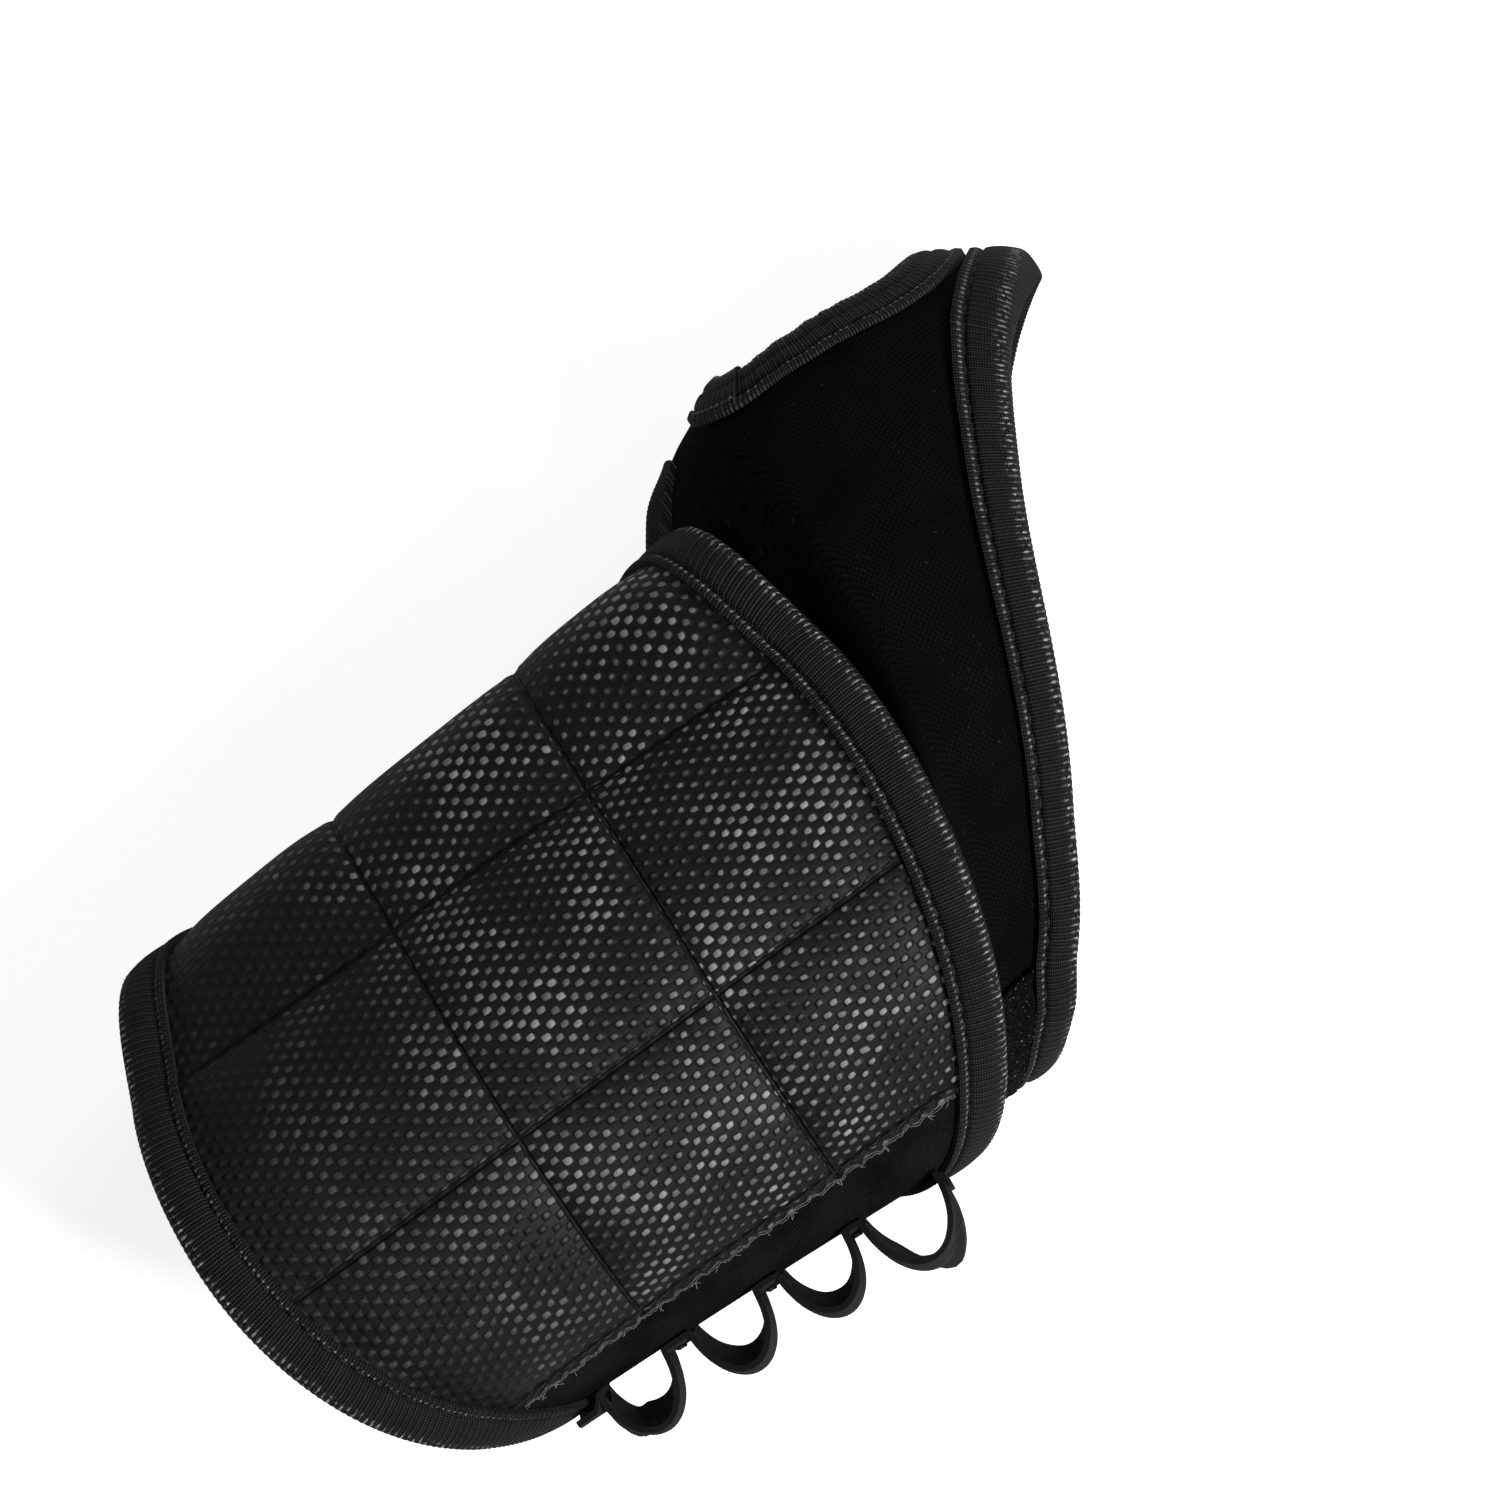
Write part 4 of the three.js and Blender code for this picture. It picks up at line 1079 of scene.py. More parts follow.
@dataclass(frozen=True)
class TapeFold:
    """Ribbed tape folded over an edge: a narrow selvage, a stitched groove and a full round nose."""

    leaf: float = 5.5
    top: float = 0.0
    bottom: float = LAYERS.lining_in
    rib: float = 0.87
    rib_height: float = 0.042
    samples: int = 4
    nose: float = 1.5
    nose_at: float = 6.0
    leaf_marks: int = 17
    selvage: float = 0.58
    selvage_height: float = 0.14
    selvage_width: float = 0.45
    groove: float = 1.3
    groove_depth: float = 0.46
    groove_width: float = 0.22
    puff: float = 0.35
    crease: float = 0.0
    crease_at: float = 3.3
    crease_width: float = 0.35
    rise: Callable[[Array], Array] | None = None

    def profile(self) -> tuple[Array, Array]:
        """Outer and inner line of the fold, as distance past the edge and offset."""
        across = np.linspace(-self.leaf, 0.0, self.leaf_marks)
        inward = across + self.leaf
        selvage = self.selvage_height * np.exp(-(((inward - self.selvage) / self.selvage_width) ** 2))
        groove = -self.groove_depth * np.exp(-(((inward - self.groove) / self.groove_width) ** 2))
        into = np.clip((inward - self.groove - 0.15) / (self.leaf - 0.8), 0.0, 1.0)
        full = self.puff * np.sin(math.pi * into) ** 0.8
        full -= self.crease * np.exp(-(((inward - self.crease_at) / self.crease_width) ** 2))
        height = LAYERS.tape + 0.05 + selvage + groove + full
        middle, half = (self.top + self.bottom) / 2.0, (self.top - self.bottom) / 2.0
        angle = np.linspace(math.pi / 2.0, -math.pi / 2.0, 11)[1:-1]
        bulge = np.sign(np.sin(angle)) * np.abs(np.sin(angle)) ** 0.75
        nose = np.stack([self.nose * np.cos(angle) ** 0.8, middle + (half + height[-1]) * bulge], -1)
        inner_nose = np.stack([0.3 * np.cos(angle) ** 0.8, middle + (half + 0.1) * bulge], -1)
        upper = np.stack([across, self.top + height], -1)
        lower = np.stack([across, self.bottom - height], -1)[::-1]
        upper_in = np.stack([across, np.full_like(across, self.top + 0.1)], -1)
        lower_in = np.stack([across, np.full_like(across, self.bottom - 0.1)], -1)[::-1]
        return np.concatenate([upper, nose, lower]), np.concatenate([upper_in, inner_nose, lower_in])

    def outward(self, point: Array, closed: bool, once_round: Array) -> Array:
        """Directions away from the cloth, square to its edge and level with an open edge's ends.

        Args:
            point: Points of the edge.
            closed: Whether the edge is a closed line.
            once_round: The way from a closed edge's first point to its last one, which is the same place.

        Returns:
            One direction for each point.
        """
        if closed:
            ahead, behind = np.roll(point, -1, axis=0), np.roll(point, 1, axis=0)
            ahead[-1] += once_round
            behind[0] -= once_round
        else:
            ahead = np.concatenate([point[1:], point[-1:]])
            behind = np.concatenate([point[:1], point[:-1]])
        tangent = ahead - behind
        tangent /= np.hypot(*tangent.T)[:, None]
        out = np.stack([tangent[:, 1], -tangent[:, 0]], -1)
        if not closed:
            for end in (0, -1):
                out[end] = np.round(out[end])
            reach = 2 * self.samples
            for k in range(1, reach):
                for row, end in ((k, 0), (-1 - k, -1)):
                    out[row] = mix(out[end], out[row], k / reach)
        return out

    def sweep(
        self, name: str, place: Place, line: Array, closed: bool = False, period: float = 0.0
    ) -> bpy.types.Object:
        """Sweeps the fold along an edge.

        Args:
            name: Name of the piece.
            place: Surface that the edge lies on.
            line: Points of the edge, in the surface's two coordinates.
            closed: Whether the edge is a closed line.
            period: Length round the surface, where a closed line goes once round it.

        Returns:
            The piece.
        """
        loop = line
        if closed:
            join = line[:1] + np.array([[period, 0.0]]) * np.sign(line[-1, 0] - line[0, 0]) * (period > 0.0)
            loop = np.concatenate([line, join])
        along = travelled(loop)
        ribs = max(4, round(along[-1] / self.rib))
        s = np.linspace(0.0, along[-1], ribs * self.samples + 1)
        s = s[:-1] if closed else s
        point = np.stack([np.interp(s, along, loop[:, k]) for k in (0, 1)], -1)
        out = self.outward(point, closed, loop[-1] - loop[0])
        outer, inner = self.profile()
        run = np.gradient(outer, axis=0)
        normal = np.stack([-run[:, 1], run[:, 0]], -1) / np.hypot(*run.T)[:, None]
        rib = self.rib_height * np.cos(2.0 * math.pi * np.arange(len(s)) / self.samples)[:, None, None]
        if self.rise:
            grown = np.clip(np.arange(len(outer)) / 2.0, 0.0, 1.0)
            rib = rib + self.rise(s)[:, None, None] * grown[None, :, None]
        outside = outer[None] + rib * normal[None]
        faces = []
        for profile in (outside, np.broadcast_to(inner[None], outside.shape)):
            u = point[:, None, 0] + out[:, None, 0] * profile[..., 0]
            x = point[:, None, 1] + out[:, None, 1] * profile[..., 0]
            faces.append(place(u.reshape(-1), x.reshape(-1), profile[..., 1].reshape(-1)))
        t = travelled(outer)
        # The coordinate across is scaled so that the nose starts at nose_at, where the tape material's band of
        # painted highlights lies.
        t = t * self.nose_at / t[self.leaf_marks - 1]
        step = RibbedTape.pitch / self.samples
        uv = np.stack([np.repeat(np.arange(len(s)) * step, len(t)), np.tile(t, len(s))], -1)
        quads = grid_quads(len(s), len(t), closed)
        return cloth_body(name, faces[0], faces[1], quads, uv, ribs * RibbedTape.pitch if closed else 0.0)


class Stitches:
    """Separate stitches of one seam thread, modelled once and copied along lines."""

    def __init__(self, length: float = 2.05, thickness: float = 0.34) -> None:
        """Models the stitch: a cylinder whose ends are drawn in and dip into the cloth.

        Args:
            length: Length of the visible thread.
            thickness: Thickness of the thread.
        """
        bpy.ops.object.select_all(action="DESELECT")
        bpy.ops.mesh.primitive_cylinder_add(
            vertices=6, radius=thickness / 2.0, depth=length, end_fill_type="TRIFAN"
        )
        piece = bpy.context.object
        bpy.ops.object.mode_set(mode="EDIT")
        bpy.ops.mesh.select_all(action="SELECT")
        bpy.ops.mesh.bisect(plane_co=(0.0, 0.0, 0.0), plane_no=(0.0, 0.0, 1.0))
        for share in (-0.36, 0.36):
            bpy.ops.mesh.select_all(action="SELECT")
            bpy.ops.mesh.bisect(plane_co=(0.0, 0.0, share * length), plane_no=(0.0, 0.0, 1.0))
        bpy.ops.object.mode_set(mode="OBJECT")
        co = np.array([v.co[:] for v in piece.data.vertices])
        end = np.clip((np.abs(co[:, 2]) / (length / 2.0) - 0.7) / 0.3, 0.0, 1.0)
        co[:, :2] *= (1.0 - 0.55 * end)[:, None]
        co[:, 1] -= thickness * (co[:, 2] / (length / 2.0)) ** 2
        self.points = co
        self.faces = [tuple(p.vertices) for p in piece.data.polygons]
        self.length = length
        bpy.data.objects.remove(piece)
        self.places: list[Array] = []

    def along(self, place: Place, line: Array, offset: Callable | float, pitch: float = 2.6) -> "Stitches":
        """Adds the stitches of one seam.

        Args:
            place: Surface that the seam lies on.
            line: Points of the seam, in the surface's two coordinates.
            offset: Level of the thread's middle.
            pitch: Distance from stitch to stitch.

        Returns:
            Itself.
        """
        level = offset(line[:, 0], line[:, 1]) if callable(offset) else np.full(len(line), offset)
        low = place(line[:, 0], line[:, 1], level)
        up = place(line[:, 0], line[:, 1], level + 0.5) - low
        run = travelled(low)
        count = int(run[-1] // pitch)
        if count < 1:
            return self
        at = (np.arange(count) + 0.5) * run[-1] / count

        def pick(values: Array, where: Array) -> Array:
            return np.stack([np.interp(where, run, values[:, k]) for k in range(3)], -1)

        centre, lift = pick(low, at), pick(up, at)
        forward = pick(low, at + self.length / 3.0) - pick(low, at - self.length / 3.0)
        forward /= np.linalg.norm(forward, axis=1)[:, None]
        lift -= (lift * forward).sum(1)[:, None] * forward
        lift /= np.linalg.norm(lift, axis=1)[:, None]
        side = np.cross(lift, forward)
        frames = np.stack([side, lift, forward], -1)
        self.places.append(np.einsum("nij,kj->nki", frames, self.points) + centre[:, None, :])
        return self

    def body(self, name: str) -> bpy.types.Object:
        """Makes one piece of all the stitches."""
        every = np.concatenate(self.places)
        size = every.shape[1]
        faces = [tuple(i + n * size for i in face) for n in range(len(every)) for face in self.faces]
        local = np.stack([self.points[:, 2], self.points[:, 0] + self.points[:, 1]], -1)
        corners = np.tile(local[np.concatenate(self.faces)], (len(every), 1))
        piece = linked_piece(name, every.reshape(-1, 3), faces, corners)
        piece.data.polygons.foreach_set("use_smooth", np.ones(len(faces), bool))
        return piece


def thread_tube(name: str, path: Array | list[Array], thickness: float, sides: int = 6) -> bpy.types.Object:
    """Round thread along a path.

    Args:
        name: Name of the piece.
        path: Points of the path, in millimetres, or several paths in a list.
        thickness: Thickness of the thread.
        sides: Number of its sides.

    Returns:
        The piece.
    """
    paths = path if isinstance(path, list) else [path]
    points, faces, uvs = [], [], []
    angle = np.arange(sides) * 2.0 * math.pi / sides
    for line in paths:
        forward = np.gradient(line, axis=0)
        forward /= np.linalg.norm(forward, axis=1)[:, None]
        across = np.cross(forward, [0.13, 0.31, 0.94])
        across /= np.linalg.norm(across, axis=1)[:, None]
        other = np.cross(forward, across)
        turned, risen = np.cos(angle)[None, :, None], np.sin(angle)[None, :, None]
        ring = turned * across[:, None] + risen * other[:, None]
        start = sum(len(p) for p in points)
        points.append((line[:, None] + ring * thickness / 2.0).reshape(-1, 3))
        rows = len(line)
        last = start + (rows - 1) * sides
        for low in range(start, last, sides):
            for j in range(sides):
                k = (j + 1) % sides
                faces.append([low + j, low + k, low + sides + k, low + sides + j])
        faces.append([start + j for j in range(sides)][::-1])
        faces.append([last + j for j in range(sides)])
        uvs.append(np.stack([np.repeat(travelled(line), sides), np.tile(angle * thickness / 2.0, rows)], -1))
    corners = np.concatenate(uvs)[np.concatenate(faces)]
    piece = linked_piece(name, np.concatenate(points), faces, corners)
    piece.data.polygons.foreach_set("use_smooth", np.ones(len(faces), bool))
    bpy.ops.object.mode_set(mode="EDIT")
    bpy.ops.mesh.select_all(action="SELECT")
    bpy.ops.mesh.normals_make_consistent(inside=False)
    bpy.ops.object.mode_set(mode="OBJECT")
    return piece


@dataclass
class SubAssembly:
    """What all sub-assemblies share: their finishes, and how a piece is handed over."""

    finishes: Finishes

    def hand_over(
        self, piece: bpy.types.Object, finish: bpy.types.Material, slot: str, body: Body,
        *nodes: str, bends: bool = False,
    ) -> bpy.types.Object:
        """Dresses a piece, ties it to its body unless bends is set, and says which nodes it stands for.

        Args:
            piece: The piece.
            finish: Its material.
            slot: Not used.
            body: The body that it rides on.
            nodes: The CAD nodes that it replaces.
            bends: Whether it bends from the cuff to the closure over the hinge seam; such a piece only has its
                placement baked into its mesh, and is neither bent nor tied to a body.

        Returns:
            The piece.
        """
        piece.data.materials.append(finish)
        if bends:
            start, end = hinge_bend()
            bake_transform(piece)
            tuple(start)
            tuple(end)
        else:
            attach(piece, body.value)
        if nodes:
            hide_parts(*nodes)
        log.info("%s: %d faces for %s", piece.name, len(piece.data.polygons), ", ".join(nodes) or "no node")
        return piece


def hinge_bend(length: float = 9.0) -> tuple[Vector, Vector]:
    """Two points in line with the flap's root, between which cloth bends over the hinge seam.

    Args:
        length: Distance from the first point to the second.

    Returns:
        The two points, in metres.
    """
    ends = np.array([-WRIST.half_length, WRIST.half_length])
    near, far = WRIST.place(np.zeros(2), ends, np.full(2, LAYERS.tape_out))
    axis = (far - near) / np.linalg.norm(far - near)
    start, ahead = WRIST.place(np.array([0.0, -1.0]), np.zeros(2), np.full(2, LAYERS.tape_out))
    run = ahead - start
    run -= (run @ axis) * axis
    run /= np.linalg.norm(run)
    return Vector(start * MM), Vector((start + run * length) * MM)


@dataclass
class Quilting:
    """Pockets sewn into a nylon cover, with puckers along their seams."""

    row_seams: list[float]
    low: Along
    high: Along
    along_seams: tuple[float, float] = (-12.0, 17.3)
    crown: float = 0.95
    squareness: float = 4.0
    edge_inset: float = 1.0
    leaf: float = TapeFold.leaf
    pucker: float = 0.13
    wrinkle_reach: float = 1.8
    line_width: float = 0.5
    stitch: float = 2.6
    sink: float = 0.22

    def marks(self, u: Array) -> Array:
        """Places along the arm of the four lines that bound the pockets."""
        low = inside(self.low, -1.0, self.leaf)(u) + self.edge_inset
        high = inside(self.high, 1.0, self.leaf)(u) - self.edge_inset
        first, second = self.along_seams
        ones = np.ones_like(u)
        bottom, top = np.minimum(low, first - 1.0), np.maximum(high, second + 1.0)
        return np.stack([bottom, first * ones, second * ones, top])

    def swell(self, value: Array, seams: Array | list[float]) -> Array:
        """Rounded rise, from 0 to 1, of the pockets between neighbouring seams."""
        risen = np.zeros_like(value)
        for start, end in zip(seams[:-1], seams[1:]):
            share = np.abs(value - (start + end) / 2.0) / (np.abs(end - start) / 2.0)
            risen = risen + (1.0 - np.minimum(share, 1.0) ** self.squareness)
        return risen

    def relief(self, u: Array, x: Array) -> Array:
        """Height of the quilted cover over its flat cut.

        Args:
            u: Distance round.
            x: Place along the arm.

        Returns:
            The height.
        """
        marks = self.marks(u)
        pillow = self.crown * self.swell(x, marks) * self.swell(u, self.row_seams)
        slow = 0.5 * np.sin(u / 2.3 + x / 5.1) + 0.5 * np.sin(x / 3.7 - u / 3.1 + 0.7)
        pillow = pillow * (1.0 + 0.1 * slow)
        across = np.min([np.abs(x - seam) for seam in self.along_seams], axis=0)
        rows = np.min([np.abs(u - seam) for seam in self.row_seams], axis=0)
        sewn = ((x > marks[0]) & (x < marks[-1])).astype(float)
        reach, width = self.wrinkle_reach, self.line_width
        wrinkle = np.exp(-((across / reach) ** 2)) * np.cos(2.0 * math.pi * u / self.stitch)
        wrinkle += np.exp(-((rows / reach) ** 2)) * np.cos(2.0 * math.pi * x / self.stitch)
        line = np.exp(-((across / width) ** 2)) + np.exp(-((rows / width) ** 2))
        return pillow + sewn * (self.pucker * wrinkle - self.sink * np.minimum(line, 1.0))

    def seam_lines(self, start: float, end: float) -> list[Array]:
        """Lines of the inner seams: two along the rows' direction, the others along the arm."""
        lines = []
        run = np.linspace(start, end, 200)
        for seam in self.along_seams:
            lines.append(np.stack([run, np.full_like(run, seam)], -1))
        for seam in self.row_seams[1:]:
            marks = self.marks(np.array([seam]))[:, 0]
            x = np.linspace(marks[0] - 0.5, marks[-1] + 0.5, 200)
            lines.append(np.stack([np.full_like(x, seam), x], -1))
        return lines


@dataclass
class MagnetPanel(SubAssembly):
    """Quilted panel on the back of the wrist, with its foam, the foam's seats for the magnets and its overlocked
    edge.
    """

    pitch: float = 31.0
    hem: float = 1.9
    edge_wave: float = 0.42
    yarn_seed: int = 7
    yarn_pitch: float = 3.4
    yarn_inset: float = 2.0
    yarn_jitter: float = 1.5
    most_yarns: int = 3
    yarn_reach: tuple = (0.25, 0.95)
    yarn_lean: float = 0.8
    yarn_level: float = 0.15
    yarn_rise: tuple = (-0.1, 0.5)
    yarn_spread: float = 0.35
    yarn_thickness: float = 0.1

    @property
    def raw_edge(self) -> float:
        """Distance round of the nylon's raw edge."""
        return 2.0 * self.pitch

    def quilting(self) -> Quilting:
        """The panel's pockets."""
        return Quilting([0.0, self.pitch, self.raw_edge - self.hem], PROXIMAL.at, DISTAL.at)

    def build(self) -> None:
        """Builds and dresses the panel."""
        quilting = self.quilting()
        edge = self.raw_edge - LAYERS.gap / 2.0

        def place(u: Array, x: Array, offset: Array) -> Array:
            free = ease((u - edge + self.hem) / self.hem)
            return WRIST.place(u + self.ragged(x) * free, x, offset + 0.12 * free)

        cut = Cut(place, 0.0, edge, PROXIMAL.at, DISTAL.at, row_step=0.5, columns=150)
        cover = cut.body(
            "quilted_nylon_panel", quilting.relief, lambda u, x: quilting.relief(u, x) - LAYERS.cover
        )
        self.hand_over(cover, self.finishes.panel_nylon, "nylon", Body.CUFF, "panel_nylon")

        seats = magnet_seats([self.pitch / 2.0, 1.5 * self.pitch], quilting)
        foam = foam_pad("panel_foam_pad", WRIST.place, 0.0, edge, PROXIMAL.at, DISTAL.at, seats)
        self.hand_over(foam, self.finishes.foam, "foam", Body.CUFF, "panel_foam")

        stitches = Stitches(length=2.0, thickness=0.22)
        for line in quilting.seam_lines(1.0, edge - 0.5):
            stitches.along(WRIST.place, line, lambda u, x: quilting.relief(u, x) - 0.02)
        self.hand_over(stitches.body("panel_quilting_thread"), self.finishes.thread, "thread", Body.CUFF)
        self.build_overlock(edge)

    def ragged(self, x: Array) -> Array:
        """How far the raw edge wanders from its straight cut."""
        waves = np.sin(x * 2.2) + 0.6 * np.sin(x * 0.83 + 1.0)
        waves = waves + 0.5 * np.sin(x * 3.7 + 2.0 * np.sin(x * 0.31))
        return self.edge_wave * waves / 2.0

    def yarn_ends(self, edge: float, low: float, high: float) -> list[Array]:
        """Paths of the yarn ends that stick out of the raw edge, in bunches at random places.

        Args:
            edge: Distance round of the raw edge.
            low: Place along the arm of its first end.
            high: Place along the arm of its second end.

        Returns:
            The paths.
        """
        chance = np.random.default_rng(self.yarn_seed)
        run = np.linspace(0.0, 1.0, 6)
        paths = []
        for root in np.arange(low + self.yarn_inset, high - self.yarn_inset, self.yarn_pitch):
            root += chance.uniform(-self.yarn_jitter, self.yarn_jitter)
            for _ in range(int(chance.integers(0, self.most_yarns + 1))):
                reach = chance.uniform(*self.yarn_reach)
                lean = chance.uniform(-self.yarn_lean, self.yarn_lean)
                level = self.yarn_level + chance.uniform(*self.yarn_rise) * run
                foot = root + chance.uniform(-self.yarn_spread, self.yarn_spread)
                paths.append(WRIST.place(edge + self.ragged(foot) + reach * run, foot + lean * run**2, level))
        return paths

    def build_overlock(self, edge: float) -> None:
        """Builds the thread along the raw edge, its seam, and the yarn ends that stick out."""
        low, high = inside(PROXIMAL.at, -1.0, TapeFold.leaf), inside(DISTAL.at, 1.0, TapeFold.leaf)
        ends = [float(low(np.array([edge]))[0]), float(high(np.array([edge]))[0])]
        x = np.arange(ends[0], ends[1], 0.14)
        fuzz = np.sin(x * 9.1 + 3.0 * np.sin(x * 1.7))
        paths = [
            WRIST.place(edge + 0.06 + self.ragged(x) + 0.05 * fuzz, x, 0.16 + 0.05 * np.cos(x * 7.3)),
            WRIST.place(edge - 0.3 + self.ragged(x) + 0.1 * np.sin(x * 1.9), x, 0.14 + 0.03 * fuzz),
        ]
        paths += self.yarn_ends(edge, *ends)
        thread = thread_tube("raw_edge_thread", paths, self.yarn_thickness, 4)
        self.hand_over(thread, self.finishes.painted_glint_thread, "thread", Body.CUFF, "raw_edge_overlock")
        seam = np.stack([np.full_like(x, edge - 1.45), x], -1)
        stitches = Stitches(length=1.7, thickness=0.2).along(WRIST.place, seam, 0.12, pitch=2.1)
        self.hand_over(stitches.body("hem_stitches"), self.finishes.thread, "thread", Body.CUFF)


def magnet_seats(rows: list[float], quilting: Quilting) -> list[tuple[float, float]]:
    """Middles of the pockets, where the foam has a round seat for each magnet.

    Args:
        rows: Distances round of the rows of pockets.
        quilting: The pockets' seams.

    Returns:
        The middles, round and along the arm.
    """
    seats = []
    for u in rows:
        marks = quilting.marks(np.array([u]))[:, 0]
        seats += [(u, (start + end) / 2.0) for start, end in zip(marks[:-1], marks[1:])]
    return seats


def foam_pad(
    name: str, place: Place, start: float, end: float, low: Along, high: Along,
    seats: list[tuple[float, float]], radius: float = 6.4,
) -> bpy.types.Object:
    """Foam with round seats cut through it.

    Args:
        name: Name of the piece.
        place: Surface that it lies on.
        start: Distance round of its first end.
        end: Distance round of its second end.
        low: Edge towards the elbow.
        high: Edge towards the hand.
        seats: Middles of the seats.
        radius: Radius of a seat.

    Returns:
        The piece.
    """

    def keep(u: Array, x: Array) -> Array:
        clear = np.ones(len(u), bool)
        for seat_u, seat_x in seats:
            clear &= np.hypot(u - seat_u, x - seat_x) > radius
        return clear

    cut = Cut(place, start, end, low, high, row_step=0.8, columns=110, keep=keep)
    return cut.body(name, LAYERS.foam_out, LAYERS.foam_in)


def edge_points(start: float, end: float, edge: Along, count: int = 400) -> Array:
    """Points of a long edge between two distances round."""
    u = np.linspace(start, end, count)
    return np.stack([u, edge(u)], -1)


@dataclass
class PlainWrap(SubAssembly):
    """Rest of the wrap: knit cover, neoprene, lining, bindings, and the closure's pile."""

    raw_edge: float = 62.0
    tail: float = 22.0
    leaf: float = TapeFold.leaf

    @property
    def end(self) -> float:
        """Distance round of the wrap's tail."""
        return WRIST.round() - self.tail

    def build(self) -> None:
        """Builds and dresses the wrap."""
        start = self.raw_edge + LAYERS.gap / 2.0
        edges = (PROXIMAL.at, DISTAL.at)

        def furrows(u: Array, x: Array) -> Array:
            near = np.exp(-(((u - start - 2.0) / 6.0) ** 2))
            return 0.12 * near * np.sin(x / 1.9 + 1.2 * np.sin(x / 7.0))

        def face(u: Array, x: Array) -> Array:
            return furrows(u, x) - 0.5 * ease((start + 1.0 - u) / 3.0) - 0.05

        cover = Cut(WRIST.place, start - 3.0, self.end, *edges, row_step=1.2, columns=70).body(
            "knit_cover", face, -LAYERS.cover - 0.25
        )
        self.hand_over(cover, self.finishes.knit, "knit", Body.CUFF, "wrap_knit_cover")

        core = Cut(WRIST.place, start, self.end, *edges, row_step=1.6, columns=50).body(
            "neoprene_core", LAYERS.foam_out, LAYERS.foam_in
        )
        self.hand_over(core, self.finishes.foam, "neoprene", Body.CUFF, "wrap_neoprene")

        lining = Cut(WRIST.place, 0.0, self.end, *edges, row_step=1.2, columns=70).body(
            "cuff_lining_cloth",
            LAYERS.lining_out,
            lambda u, x: LAYERS.lining_in + 0.1 * np.sin(u / 3.3 + np.sin(x / 6.0)) * np.sin(x / 8.0),
        )
        self.hand_over(lining, self.finishes.lining, "knit", Body.CUFF, "cuff_lining")
        self.build_bindings()
        self.build_pile()

    def build_bindings(self) -> None:
        """Builds the three tapes and their stitches."""
        fold = TapeFold()
        lines = {
            "distal": edge_points(self.end, 0.0, DISTAL.at),
            "proximal": edge_points(0.0, self.end, PROXIMAL.at),
        }
        tail_x = [
            float(inside(edge.at, side, self.leaf)(np.array([self.end]))[0])
            for edge, side in ((PROXIMAL, -1.0), (DISTAL, 1.0))
        ]
        tail_run = np.linspace(*tail_x, 60)
        lines["tail"] = np.stack([np.full_like(tail_run, self.end), tail_run], -1)
        for name, line in lines.items():
            tape = fold.sweep(f"{name}_ribbed_tape", WRIST.place, line)
            self.hand_over(tape, self.finishes.tape, "binding", Body.CUFF, f"{name}_binding")
            length = float(np.hypot(*np.diff(line, axis=0).T).sum()) * MM
        stitches = Stitches(length=2.0, thickness=0.3)
        groove = self.leaf - TapeFold.groove
        for edge, side in ((DISTAL, 1.0), (PROXIMAL, -1.0)):
            seam = edge_points(0.5, self.end, inside(edge.at, side, groove - LAYERS.gap))
            stitches.along(WRIST.place, seam, 0.5)
            stitches.along(WRIST.place, seam, LAYERS.lining_in - 0.5)
        self.hand_over(stitches.body("wrap_binding_thread"), self.finishes.thread, "thread", Body.CUFF)

    def build_pile(self) -> None:
        """Builds the closure's pile on the palm and the tail."""
        lengths = WRIST.lengths()
        start = float(lengths[0] + lengths[1]) - WRIST.hinge_inset
        edges = (inside(PROXIMAL.at, -1.0, self.leaf), inside(DISTAL.at, 1.0, self.leaf))
        end = self.end - self.leaf - LAYERS.gap
        cut = Cut(WRIST.place, start, end, *edges, row_step=0.5, columns=74)
        pile = cut.body("palm_loop_pile", matted(LAYERS.gap + LAYERS.patch), 0.1)
        self.hand_over(pile, self.finishes.pile, "pile", Body.CUFF, "loop_pile")


def matted(level: float, depth: float = 0.16) -> Callable[[Array, Array], Array]:
    """Uneven top of a pile, just under a level."""

    def top(u: Array, x: Array) -> Array:
        waves = np.sin(u * 3.1 + 2.0 * np.sin(x * 1.7)) * np.sin(x * 2.7 + 2.0 * np.sin(u * 1.3))
        return level - depth + depth * waves

    return top


